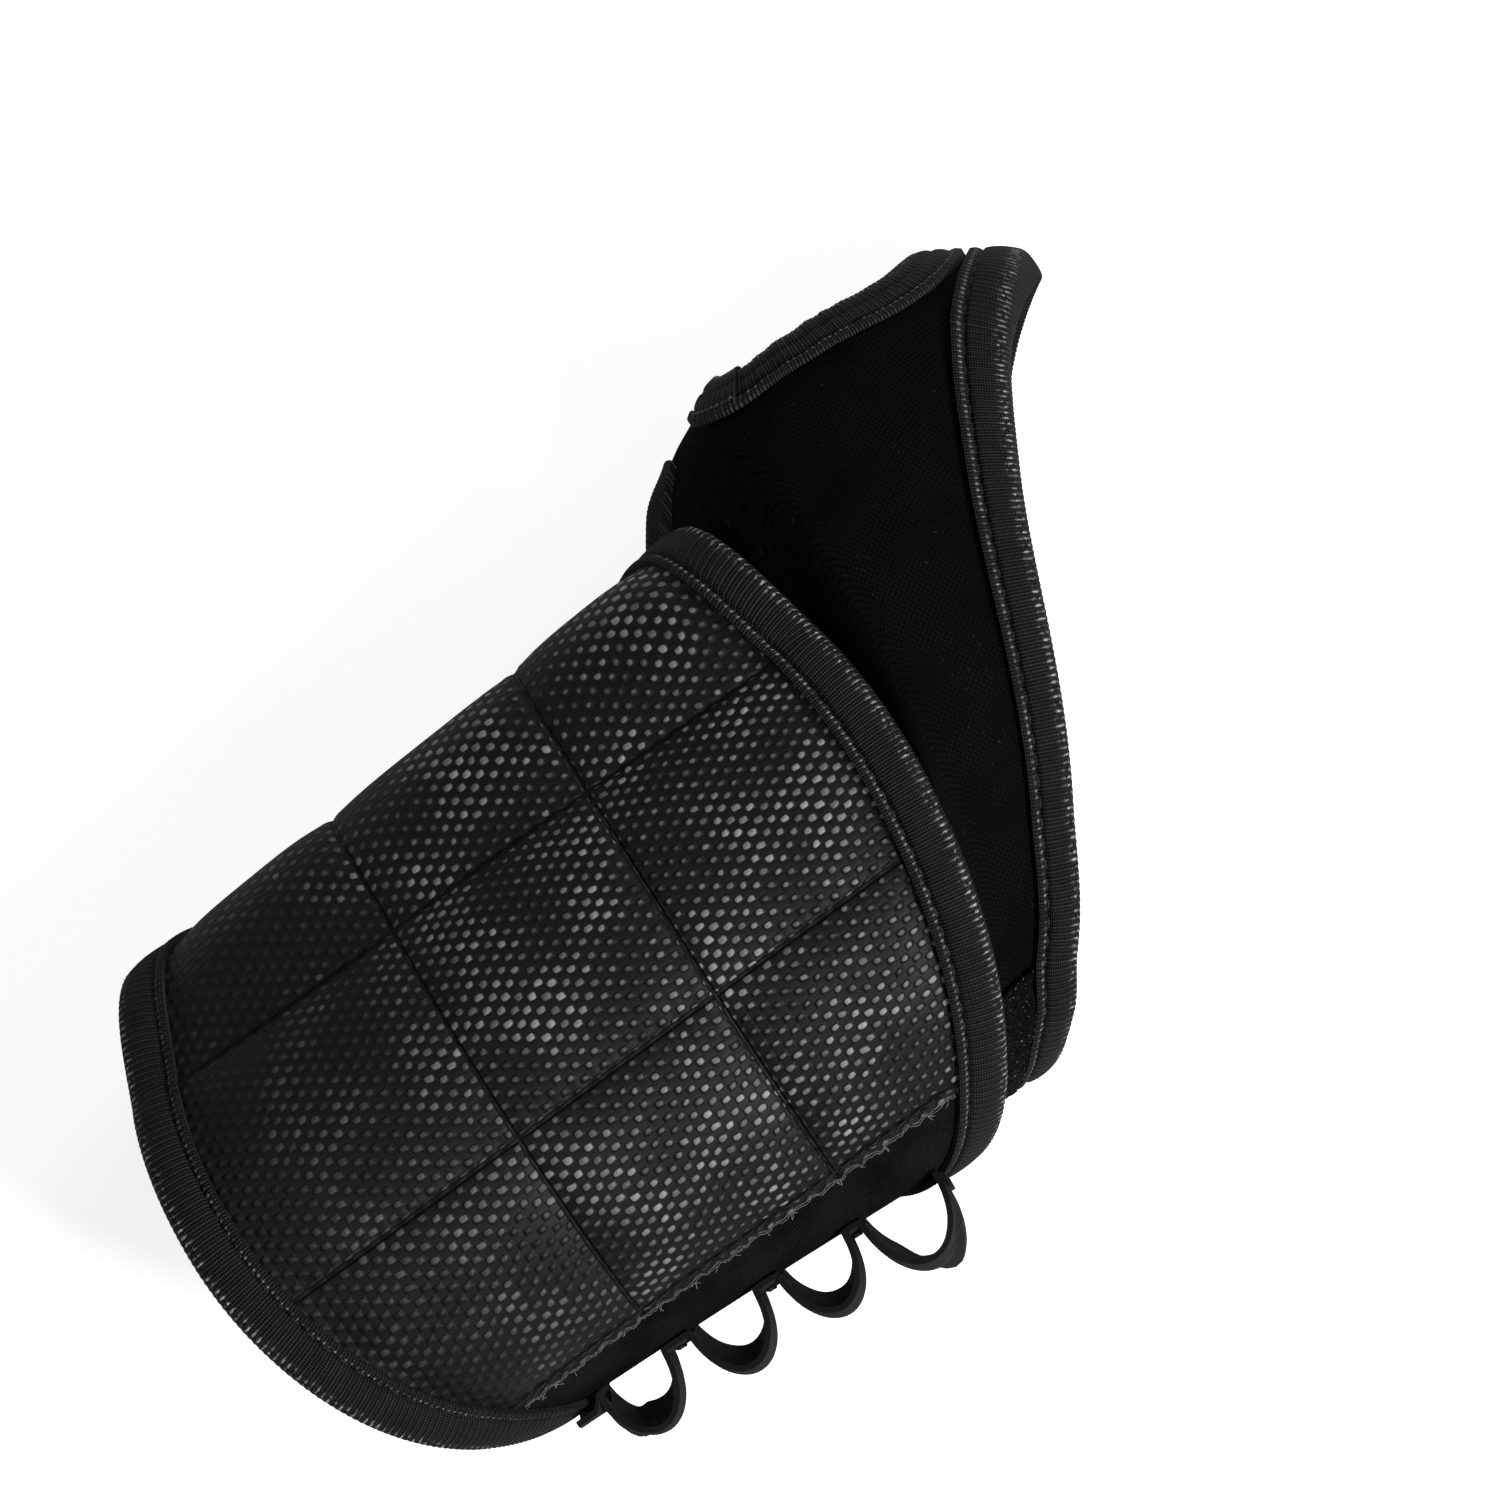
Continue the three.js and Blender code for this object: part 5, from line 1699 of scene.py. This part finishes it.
@dataclass
class ElasticLoops(SubAssembly):
    """Elastic tape with three small loops and a wide one, sewn down between them."""

    width: float = 16.0
    thickness: float = 0.8
    start: float = -27.0
    end: float = 28.6
    small: tuple = (4.9, 8.0)
    wide: tuple = (5.6, 9.0)
    places: tuple = (-17.8, -4.1, 9.1, 22.0)
    level_band: float = 2.0
    binding_clear: float = 0.45
    tack_reach: float = 6.0
    tack_pitch: float = 0.62
    tack_thread: float = 0.28

    def middle(self) -> float:
        """Distance round of the tape's middle."""
        section = WRIST.section(0.0)
        turn = float(section.arc()[1])
        return float(WRIST.lengths()[0]) - WRIST.hinge_inset + WRIST.side_radius * (math.pi / 2.0 - turn)

    def path(self) -> Array:
        """Middle line of the tape, along the arm and above the wrap."""
        lift = self.thickness / 2.0
        first = self.places[0] - self.small[0]
        flat = np.linspace(self.start, first, 14)[:-1]
        points = [np.stack([flat, np.full_like(flat, lift)], -1)]
        for index, at in enumerate(self.places):
            half, height = self.wide if index == len(self.places) - 1 else self.small
            angle = np.linspace(math.pi, 0.0, 33)
            points.append(np.stack([at + half * np.cos(angle), lift + height * np.sin(angle)], -1))
            if index < len(self.places) - 1:
                ahead = self.wide if index == len(self.places) - 2 else self.small
                flat = np.linspace(at + half, self.places[index + 1] - ahead[0], 6)[1:-1]
                points.append(np.stack([flat, np.full_like(flat, lift)], -1))
        flat = np.linspace(self.places[-1] + self.wide[0], self.end, 6)[1:]
        points.append(np.stack([flat, np.full_like(flat, lift)], -1))
        return np.concatenate(points)

    def over_binding(self, u: Array, x: Array) -> Array:
        """How far the tape's ends rise over the bindings."""
        high, low = inside(DISTAL.at, 1.0, TapeFold.leaf)(u), inside(PROXIMAL.at, -1.0, TapeFold.leaf)(u)
        band = self.level_band
        rise = np.maximum(ease((x + band - high) / band), ease((low + band - x) / band))
        return (LAYERS.tape_out + self.binding_clear) * rise

    def build(self) -> None:
        """Builds the tape and its bar tacks."""
        path = self.path()
        along = np.gradient(path, axis=0)
        along /= np.hypot(*along.T)[:, None]
        out = np.stack([-along[:, 1], along[:, 0]], -1)
        columns = 25
        across = np.linspace(-0.5, 0.5, columns)
        run = travelled(path)
        faces = []
        for side in (1.0, -1.0):
            ribs = 0.05 * np.cos(2.0 * math.pi * across * 9.0) if side > 0 else 0.0
            edge = 0.05 * np.sin(run / 0.7)[:, None] * (np.abs(across) * 2.0)[None, :] ** 6
            away = side * (self.thickness / 2.0 + ribs) * np.ones((len(path), columns))
            x = path[:, None, 0] + out[:, None, 0] * away
            rise = np.maximum(path[:, None, 1] + out[:, None, 1] * away, 0.0)
            u = self.middle() + across[None, :] * self.width + edge
            level = LAYERS.gap + self.over_binding(u.reshape(-1), x.reshape(-1)) + rise.reshape(-1)
            faces.append(WRIST.place(u.reshape(-1), x.reshape(-1), level))
        uv = np.stack([np.tile(across * self.width, len(path)), np.repeat(run, columns)], -1)
        tape = cloth_body("elastic_loops", faces[0], faces[1], grid_quads(len(path), columns), uv)
        self.hand_over(tape, self.finishes.elastic, "elastic", Body.CUFF, "elastic_loop_tape")
        self.build_tacks()

    def build_tacks(self) -> None:
        """Builds the zigzag bar tacks between the loops."""
        for index, at in enumerate(self.places[:-1]):
            ahead = self.wide if index == len(self.places) - 2 else self.small
            middle = (at + self.small[0] + self.places[index + 1] - ahead[0]) / 2.0
            u = np.arange(-self.tack_reach, self.tack_reach, 0.09)
            swing = np.sin(2.0 * math.pi * u / self.tack_pitch)
            zigzag = 0.55 * (2.0 / math.pi) * np.arcsin(swing)
            level = LAYERS.gap + self.thickness + 0.12 + 0.05 * np.abs(swing)
            path = WRIST.place(self.middle() + u, middle + zigzag, level)
            thread = thread_tube(f"bar_tack_thread_{index + 1}", path, self.tack_thread)
            self.hand_over(thread, self.finishes.thread, "thread", Body.CUFF, f"bar_tack_{index + 1}")


@dataclass
class HandSling(SubAssembly):
    """Neoprene sling with its thumb hole, two bindings and a pile patch."""

    under_columns: int = 6
    flare_columns: int = 12
    out_columns: int = 48
    lap_at: float = 34.0
    lap_rise: float = 0.6
    lap_length: float = 10.0
    wrinkled_at: float = 25.0
    tail_start: tuple = (4.7, 48.3)
    tail_end: tuple = (-3.9, 40.4)
    tail_roll: tuple = (0.15, 1.7)
    tail_across: tuple = (-9.7, -2.4)

    def spread(self, rows: Array, share: Array) -> Array:
        """Places along the arm of the columns: under the wrap, over the flare and out to the edge.

        Args:
            rows: Distances round of the rows.
            share: Share of each column, from 0 to 1.

        Returns:
            The places, by row and column.
        """
        start = HAND.start(station_at(HAND.lengths(), rows))
        edge = HAND.hand_edge(rows)
        flare = np.minimum(start + HAND.flare_length, (start + edge) / 2.0)
        total = self.under_columns + self.flare_columns + self.out_columns
        marks = np.array([0, self.under_columns, self.under_columns + self.flare_columns, total]) / total
        stops = np.stack([np.full_like(start, HAND.seam()), start, flare, edge], -1)
        return np.stack([np.interp(share, marks, stop) for stop in stops])

    def build(self) -> None:
        """Builds and dresses the sling."""
        columns = self.under_columns + self.flare_columns + self.out_columns
        cut = Cut(
            self.place_round_hole, 0.0, HAND.round(), DISTAL.at, DISTAL.at, row_step=1.1, columns=columns,
            keep=lambda w, x: HOLE.away(w, x) > 1.0, closed=True, spread=self.spread,
        )
        sling = cut.body("neoprene_sling", 0.0, -LAYERS.sling)
        self.hand_over(sling, self.finishes.neoprene, "neoprene", Body.CUFF, "hand_sling")
        self.build_bindings()
        self.build_tape_tail()
        self.build_patch()

    def place_round_hole(self, w: Array, x: Array, offset: Array) -> Array:
        """Points of the sling, with the ones nearest the thumb hole drawn onto its rim.

        Args:
            w: Distance round.
            x: Place along the arm.
            offset: Distance outward.

        Returns:
            The points in space.
        """
        away = HOLE.away(w, x)
        near = (away > 0.94) & (away < 1.06)
        scale = np.where(near, 1.0 / np.maximum(away, 1e-6), 1.0)
        w = HOLE.middle() + (w - HOLE.middle()) * scale
        x = HOLE.centre + (x - HOLE.centre) * scale
        return HAND.place(w, x, offset)

    def build_bindings(self) -> None:
        """Builds the hand edge's and thumb hole's tapes and their stitches."""
        w = HAND.round() * (1.0 - np.arange(360) / 360)
        hand_line = np.stack([w, HAND.hand_edge(w)], -1)
        hand_fold = TapeFold(leaf=5.0, bottom=-LAYERS.sling, nose=0.9, nose_at=6.5, leaf_marks=16)
        hand = hand_fold.sweep(
            "hand_edge_ribbed_tape", HAND.place, hand_line, closed=True, period=HAND.round()
        )
        self.hand_over(hand, self.finishes.tape, "binding", Body.CUFF, "hand_edge_binding")

        thumb_line = HOLE.line(300)
        thumb_fold = TapeFold(
            leaf=HOLE.leaf, bottom=-LAYERS.sling, rib=0.75, puff=0.3, crease=0.28, rise=self.lapped
        )
        thumb = thumb_fold.sweep("thumb_hole_ribbed_tape", HAND.place, thumb_line, closed=True)
        self.hand_over(thumb, self.finishes.thumb_tape, "binding", Body.CUFF, "thumb_hole_binding")

        stitches = Stitches(length=2.0, thickness=0.3)
        inset = hand_fold.leaf - hand_fold.groove - LAYERS.gap
        seam = np.stack([w, inside(HAND.hand_edge, 1.0, inset)(w)], -1)
        stitches.along(HAND.place, seam, 0.5).along(HAND.place, seam, -LAYERS.sling - 0.5)
        grown = HOLE.leaf - thumb_fold.groove
        ring = HOLE.rim(300) * (1.0 + grown / np.array([HOLE.half_width, HOLE.half_length]))
        ring = ring + [HOLE.middle(), HOLE.centre]
        ring = np.concatenate([ring, ring[:1]])
        stitches.along(HAND.place, ring, 0.5).along(HAND.place, ring, -LAYERS.sling - 0.5)
        self.hand_over(stitches.body("sling_binding_thread"), self.finishes.thread, "thread", Body.CUFF)

    def build_tape_tail(self) -> None:
        """Builds the tape's tail, a strip that runs down the side from the thumb hole to the wrap."""
        fold = TapeFold()
        columns = 25
        start, end, across = (np.array(mark) for mark in (self.tail_start, self.tail_end, self.tail_across))
        middle = np.array([HOLE.middle(), 0.0]) + across / 2.0

        def run(first: Array, last: Array) -> tuple[Array, Array]:
            """Marks of a straight line on the sling, and the distance travelled to each."""
            marks = mix(first, last, np.linspace(0.0, 1.0, 400)[:, None]) + middle
            return marks, travelled(HAND.place(marks[:, 0], marks[:, 1], np.full(400, LAYERS.tape)))

        marks, distance = run(start, end)
        half = (start + end) / 2.0
        width = float(run(half - across / 2.0, half + across / 2.0)[1][-1])
        ribs = round(distance[-1] / fold.rib)
        rows = ribs * fold.samples + 1
        at = np.linspace(0.0, distance[-1], rows)
        centre = np.stack([np.interp(at, distance, marks[:, k]) for k in (0, 1)], -1)
        share = np.linspace(0.0, 1.0, columns)
        point = centre[:, None] + (share[None, :, None] - 0.5) * across
        roll = mix(*self.tail_roll, ease(np.linspace(0.0, 1.4, rows)))
        relief = fold.rib_height * np.cos(2.0 * math.pi * np.arange(rows) / fold.samples)
        level = LAYERS.tape + relief[:, None] + roll[:, None] * np.sin(math.pi * share)[None, :] ** 0.6
        flat = point[..., 0].reshape(-1), point[..., 1].reshape(-1)
        faces = [HAND.place(*flat, value) for value in (level.reshape(-1), np.full(level.size, 0.1))]
        step = RibbedTape.pitch / fold.samples
        # The coordinate across is flipped, which places the tape material's bands of painted glints on the
        # strip.
        along, over = np.arange(rows) * step, (1.0 - share) * fold.nose_at
        uv = np.stack([np.repeat(along, columns), np.tile(over, rows)], -1)
        tail = cloth_body("thumb_tape_tail", faces[0], faces[1], grid_quads(rows, columns), uv)
        self.hand_over(tail, self.finishes.tape, "binding", Body.CUFF)

    def lapped(self, s: Array) -> Array:
        """Rise of the thumb hole's tape: its end laps over its start, and it wrinkles on the tight curve."""
        after = s - self.lap_at
        lapped = (after > 0.0) & (after < self.lap_length)
        lap = np.where(lapped, self.lap_rise * (1.0 - after / self.lap_length), 0.0)
        tight = np.exp(-(((s - self.wrinkled_at) / 9.0) ** 2))
        return lap + 0.09 * tight * np.sin(s * 1.9 + 1.5 * np.sin(s * 0.6))

    def build_patch(self) -> None:
        """Builds the small pile patch beside the wrap's edge."""
        lengths = HAND.lengths()
        start, end = float(lengths[0] * 0.97), float(lengths[0] + lengths[1] * 0.5)
        cut = Cut(
            HAND.place, start, end,
            lambda w: HAND.start(station_at(lengths, w)) + LAYERS.gap,
            inside(HAND.hand_edge, 1.0, HOLE.leaf), row_step=0.5, columns=40,
        )
        patch = cut.body("sling_pile", matted(LAYERS.gap + LAYERS.patch), 0.1)
        self.hand_over(patch, self.finishes.pile, "pile", Body.CUFF, "sling_pile_patch")


@dataclass
class ClosureFlap(SubAssembly):
    """Quilted end of the wrap that opens about the seam nearest the thumb."""

    leaf: float = TapeFold.leaf
    hook_margin: float = 1.5
    hook_base: float = 0.35
    hook_stem: float = 0.3
    hook_bend: float = 2.6
    hook_size: tuple = (0.22, 0.24)
    hook_pitches: tuple = (1.35, 1.4)
    hook_inset: float = 0.9
    hook_thickness: float = 0.16

    def outline(self) -> Array:
        """Edge of the flap from the seam round its free end and back."""
        u = -np.linspace(0.0, FLAP.length - FLAP.corner, 160)
        angle = np.linspace(0.0, math.pi / 2.0, 40)[1:-1]
        turn = -(FLAP.length - FLAP.corner) - FLAP.corner * np.sin(angle)
        tip = np.full(60, -FLAP.length)
        end = np.array([-FLAP.length])
        tip_x = np.linspace(FLAP.high(end)[0], FLAP.low(end)[0], 60)
        parts = [
            np.stack([u, FLAP.high(u)], -1),
            np.stack([turn, FLAP.high(turn)], -1),
            np.stack([tip, tip_x], -1),
            np.stack([turn[::-1], FLAP.low(turn[::-1])], -1),
            np.stack([u[::-1], FLAP.low(u[::-1])], -1),
        ]
        return np.concatenate(parts)

    def build(self) -> None:
        """Builds and dresses the flap."""
        edge_seam = self.leaf + 3.0 - FLAP.length
        quilting = Quilting([0.0, -FLAP.second_seam, edge_seam], FLAP.low, FLAP.high)
        whole = (WRIST.place_flap, 0.0, -FLAP.length, FLAP.low, FLAP.high)
        cut = Cut(*whole, row_step=0.5, columns=150)
        cover = cut.body(
            "quilted_nylon_flap", quilting.relief, lambda u, x: quilting.relief(u, x) - LAYERS.cover
        )
        self.over_seam(cover, self.finishes.flap_nylon, "nylon", "flap_nylon")

        seats = magnet_seats([-FLAP.second_seam / 2.0], quilting)
        foam = foam_pad("flap_foam_pad", *whole, seats)
        self.over_seam(foam, self.finishes.foam, "foam", "flap_foam")

        lining = Cut(*whole, row_step=1.0, columns=70)
        cloth = lining.body("flap_lining_cloth", LAYERS.lining_out, LAYERS.lining_in)
        self.over_seam(cloth, self.finishes.lining, "knit", "flap_lining")

        tape = TapeFold().sweep("flap_ribbed_tape", WRIST.place_flap, self.outline())
        self.over_seam(tape, self.finishes.tape, "binding", "flap_binding")
        self.build_thread(quilting)
        self.build_hooks()

    def over_seam(self, piece: bpy.types.Object, finish: bpy.types.Material, slot: str, *nodes: str) -> None:
        """Hands over a piece of the flap with bends set, which bakes its placement into its mesh instead of
        tying it to a body.
        """
        self.hand_over(piece, finish, slot, Body.CLOSURE, *nodes, bends=True)

    def build_thread(self, quilting: Quilting) -> None:
        """Builds the quilting's and binding's stitches."""
        stitches = Stitches(length=2.0, thickness=0.22)
        for line in quilting.seam_lines(-1.0, 2.0 - FLAP.length + self.leaf):
            stitches.along(WRIST.place_flap, line, lambda u, x: quilting.relief(u, x) - 0.02)
        outline = self.outline()
        tangent = np.gradient(outline, axis=0)
        tangent /= np.maximum(np.hypot(*tangent.T), 1e-9)[:, None]
        seam = outline - np.stack([tangent[:, 1], -tangent[:, 0]], -1) * (self.leaf - TapeFold.groove)
        stitches.along(WRIST.place_flap, seam, 0.5)
        stitches.along(WRIST.place_flap, seam, LAYERS.lining_in - 0.5)
        self.over_seam(stitches.body("flap_thread"), self.finishes.thread, "thread")

    def build_hooks(self) -> None:
        """Builds the hook tape: a base and rows of bent hooks, modelled once and copied."""
        margin = self.leaf + self.hook_margin
        low, high = inside(FLAP.low, -1.0, margin), inside(FLAP.high, 1.0, margin)
        top = LAYERS.lining_in - 0.02
        ends = -FLAP.hook_start, -FLAP.hook_end
        cut = Cut(WRIST.place_flap, *ends, low, high, row_step=1.0, columns=50)
        base = cut.body("hook_tape", top, top - self.hook_base)
        self.hand_over(base, self.finishes.hook, "hook", Body.CLOSURE, "flap_hook")
        bend = np.linspace(0.0, self.hook_bend, 6)
        reach, height = self.hook_size
        side = np.concatenate([[0.0], reach * (1.0 - np.cos(bend))])
        rise = np.concatenate([[0.1], -self.hook_stem - height * np.sin(bend)])
        level = top - self.hook_stem + (rise + 0.1)
        row_pitch, pitch = self.hook_pitches
        paths = []
        for row, u in enumerate(np.arange(-FLAP.hook_end + 0.8, -FLAP.hook_start - 0.5, row_pitch)):
            ends = low(np.array([u]))[0] + self.hook_inset, high(np.array([u]))[0] - self.hook_inset
            way = 1.0 if row % 2 else -1.0
            for x in np.arange(ends[0] + pitch / 2.0 * (row % 2), ends[1], pitch):
                paths.append(WRIST.place_flap(np.full(len(side), u), x + way * side, level))
        hooks = thread_tube("hook_rows", paths, self.hook_thickness)
        self.hand_over(hooks, self.finishes.thread, "hook", Body.CLOSURE)


@dataclass
class Magnets(SubAssembly):
    """Nickel-plated discs, which keep their own meshes."""

    count: int = 9

    def build(self) -> None:
        """Dresses the discs."""
        for number in range(1, self.count + 1):
            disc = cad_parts[f"magnet_{number}"]
            disc.data.materials.clear()
            disc.data.materials.append(self.finishes.nickel)
            log.info("magnet_%d dressed", number)


@dataclass
class Studio:
    """Camera, floor, lamps and white surroundings."""

    frame_mm: float = 180.7
    distance: float = 650.0
    top: float = 55.0
    right: tuple = (0.84, -0.543)
    centre: tuple = (36.8, 15.5)
    sensor: float = 36.0
    floor_half: float = 1.6
    floor_drop: float = 0.0002
    floor_grey: float = 0.6
    floor_glow: float = 0.75
    white_light: float = 0.12
    aim: tuple = (0.03, 0.0, 0.03)
    lamps: tuple = (
        ("key", (0.34, -0.46, 0.62), 0.24, 8.0),
        ("fill", (-0.45, 0.30, 0.85), 0.6, 1.6),
        ("rim", (0.72, 0.40, 0.34), 0.3, 2.6),
    )

    def build(self) -> None:
        """Builds the studio."""
        self.build_camera()
        self.build_floor()
        self.build_lamps()
        bpy.context.scene.view_settings.view_transform = "Standard"

    def build_camera(self) -> None:
        """Sets the camera over the back of the wrist, with the arm rising to the right."""
        data = bpy.data.cameras.new("camera")
        data.sensor_width = self.sensor
        data.lens = self.sensor * self.distance / self.frame_mm
        data.dof.use_dof = False
        camera = bpy.data.objects.new("camera", data)
        bpy.context.scene.collection.objects.link(camera)
        right = Vector((*self.right, 0.0)).normalized()
        up = Vector((-right.y, right.x, 0.0))
        turn = Matrix((right, up, Vector((0.0, 0.0, 1.0)))).transposed().to_4x4()
        place = Vector((self.centre[0], self.centre[1], self.top + self.distance)) * MM
        camera.matrix_world = Matrix.Translation(place) @ turn
        data.clip_start, data.clip_end = 0.05, 20.0
        bpy.context.scene.camera = camera

    def seen(self, tree: bpy.types.NodeTree) -> Socket:
        """1 where the camera looks, straight or through something clear, and 0 for other light."""
        path = tree.nodes.new("ShaderNodeLightPath")
        either = tree.nodes.new("ShaderNodeMath")
        either.operation = "MAXIMUM"
        tree.links.new(path.outputs["Is Camera Ray"], either.inputs[0])
        tree.links.new(path.outputs["Is Transmission Ray"], either.inputs[1])
        return either.outputs[0]

    def build_floor(self) -> None:
        """Lays a pale floor that looks white and keeps the shadow."""
        bpy.ops.object.select_all(action="DESELECT")
        place = (0.0, 0.0, -self.floor_drop)
        bpy.ops.mesh.primitive_plane_add(size=2.0 * self.floor_half, location=place)
        floor = bpy.context.object
        floor.name = "studio_floor"
        material = bpy.data.materials.new("white_floor")
        material.use_nodes = True
        tree = material.node_tree
        shader = tree.nodes["Principled BSDF"]
        shader.inputs["Base Color"].default_value = (*(self.floor_grey,) * 3, 1.0)
        shader.inputs["Roughness"].default_value = 0.9
        strength = tree.nodes.new("ShaderNodeMath")
        strength.operation = "MULTIPLY"
        strength.inputs[1].default_value = self.floor_glow
        tree.links.new(self.seen(tree), strength.inputs[0])
        shader.inputs["Emission Color"].default_value = (1.0, 1.0, 1.0, 1.0)
        tree.links.new(strength.outputs[0], shader.inputs["Emission Strength"])
        floor.data.materials.append(material)

    def build_lamps(self) -> None:
        """Hangs three soft lamps and sets the surroundings."""
        for name, place, size, power in self.lamps:
            data = bpy.data.lights.new(name, "AREA")
            data.shape = "SQUARE"
            data.size = size
            data.energy = power
            lamp = bpy.data.objects.new(name, data)
            lamp.location = place
            lamp.rotation_euler = (Vector(self.aim) - Vector(place)).to_track_quat("-Z", "Y").to_euler()
            bpy.context.scene.collection.objects.link(lamp)
        world = bpy.data.worlds.new("white_studio")
        bpy.context.scene.world = world
        world.use_nodes = True
        tree = world.node_tree
        background = tree.nodes["Background"]
        background.inputs["Color"].default_value = (1.0, 1.0, 1.0, 1.0)
        strength = tree.nodes.new("ShaderNodeMapRange")
        tree.links.new(self.seen(tree), strength.inputs["Value"])
        strength.inputs["To Min"].default_value = self.white_light
        strength.inputs["To Max"].default_value = 1.0
        tree.links.new(strength.outputs[0], background.inputs["Strength"])


def main() -> None:
    """Builds every sub-assembly in order."""
    logging.basicConfig(level=logging.INFO, format="%(name)s: %(message)s")
    Studio().build()
    finishes = Finishes()
    for part in (MagnetPanel, PlainWrap, ElasticLoops, HandSling, ClosureFlap, Magnets):
        part(finishes).build()
        log.info("%s is built", part.__name__)


if __name__ == "__main__":
    main()
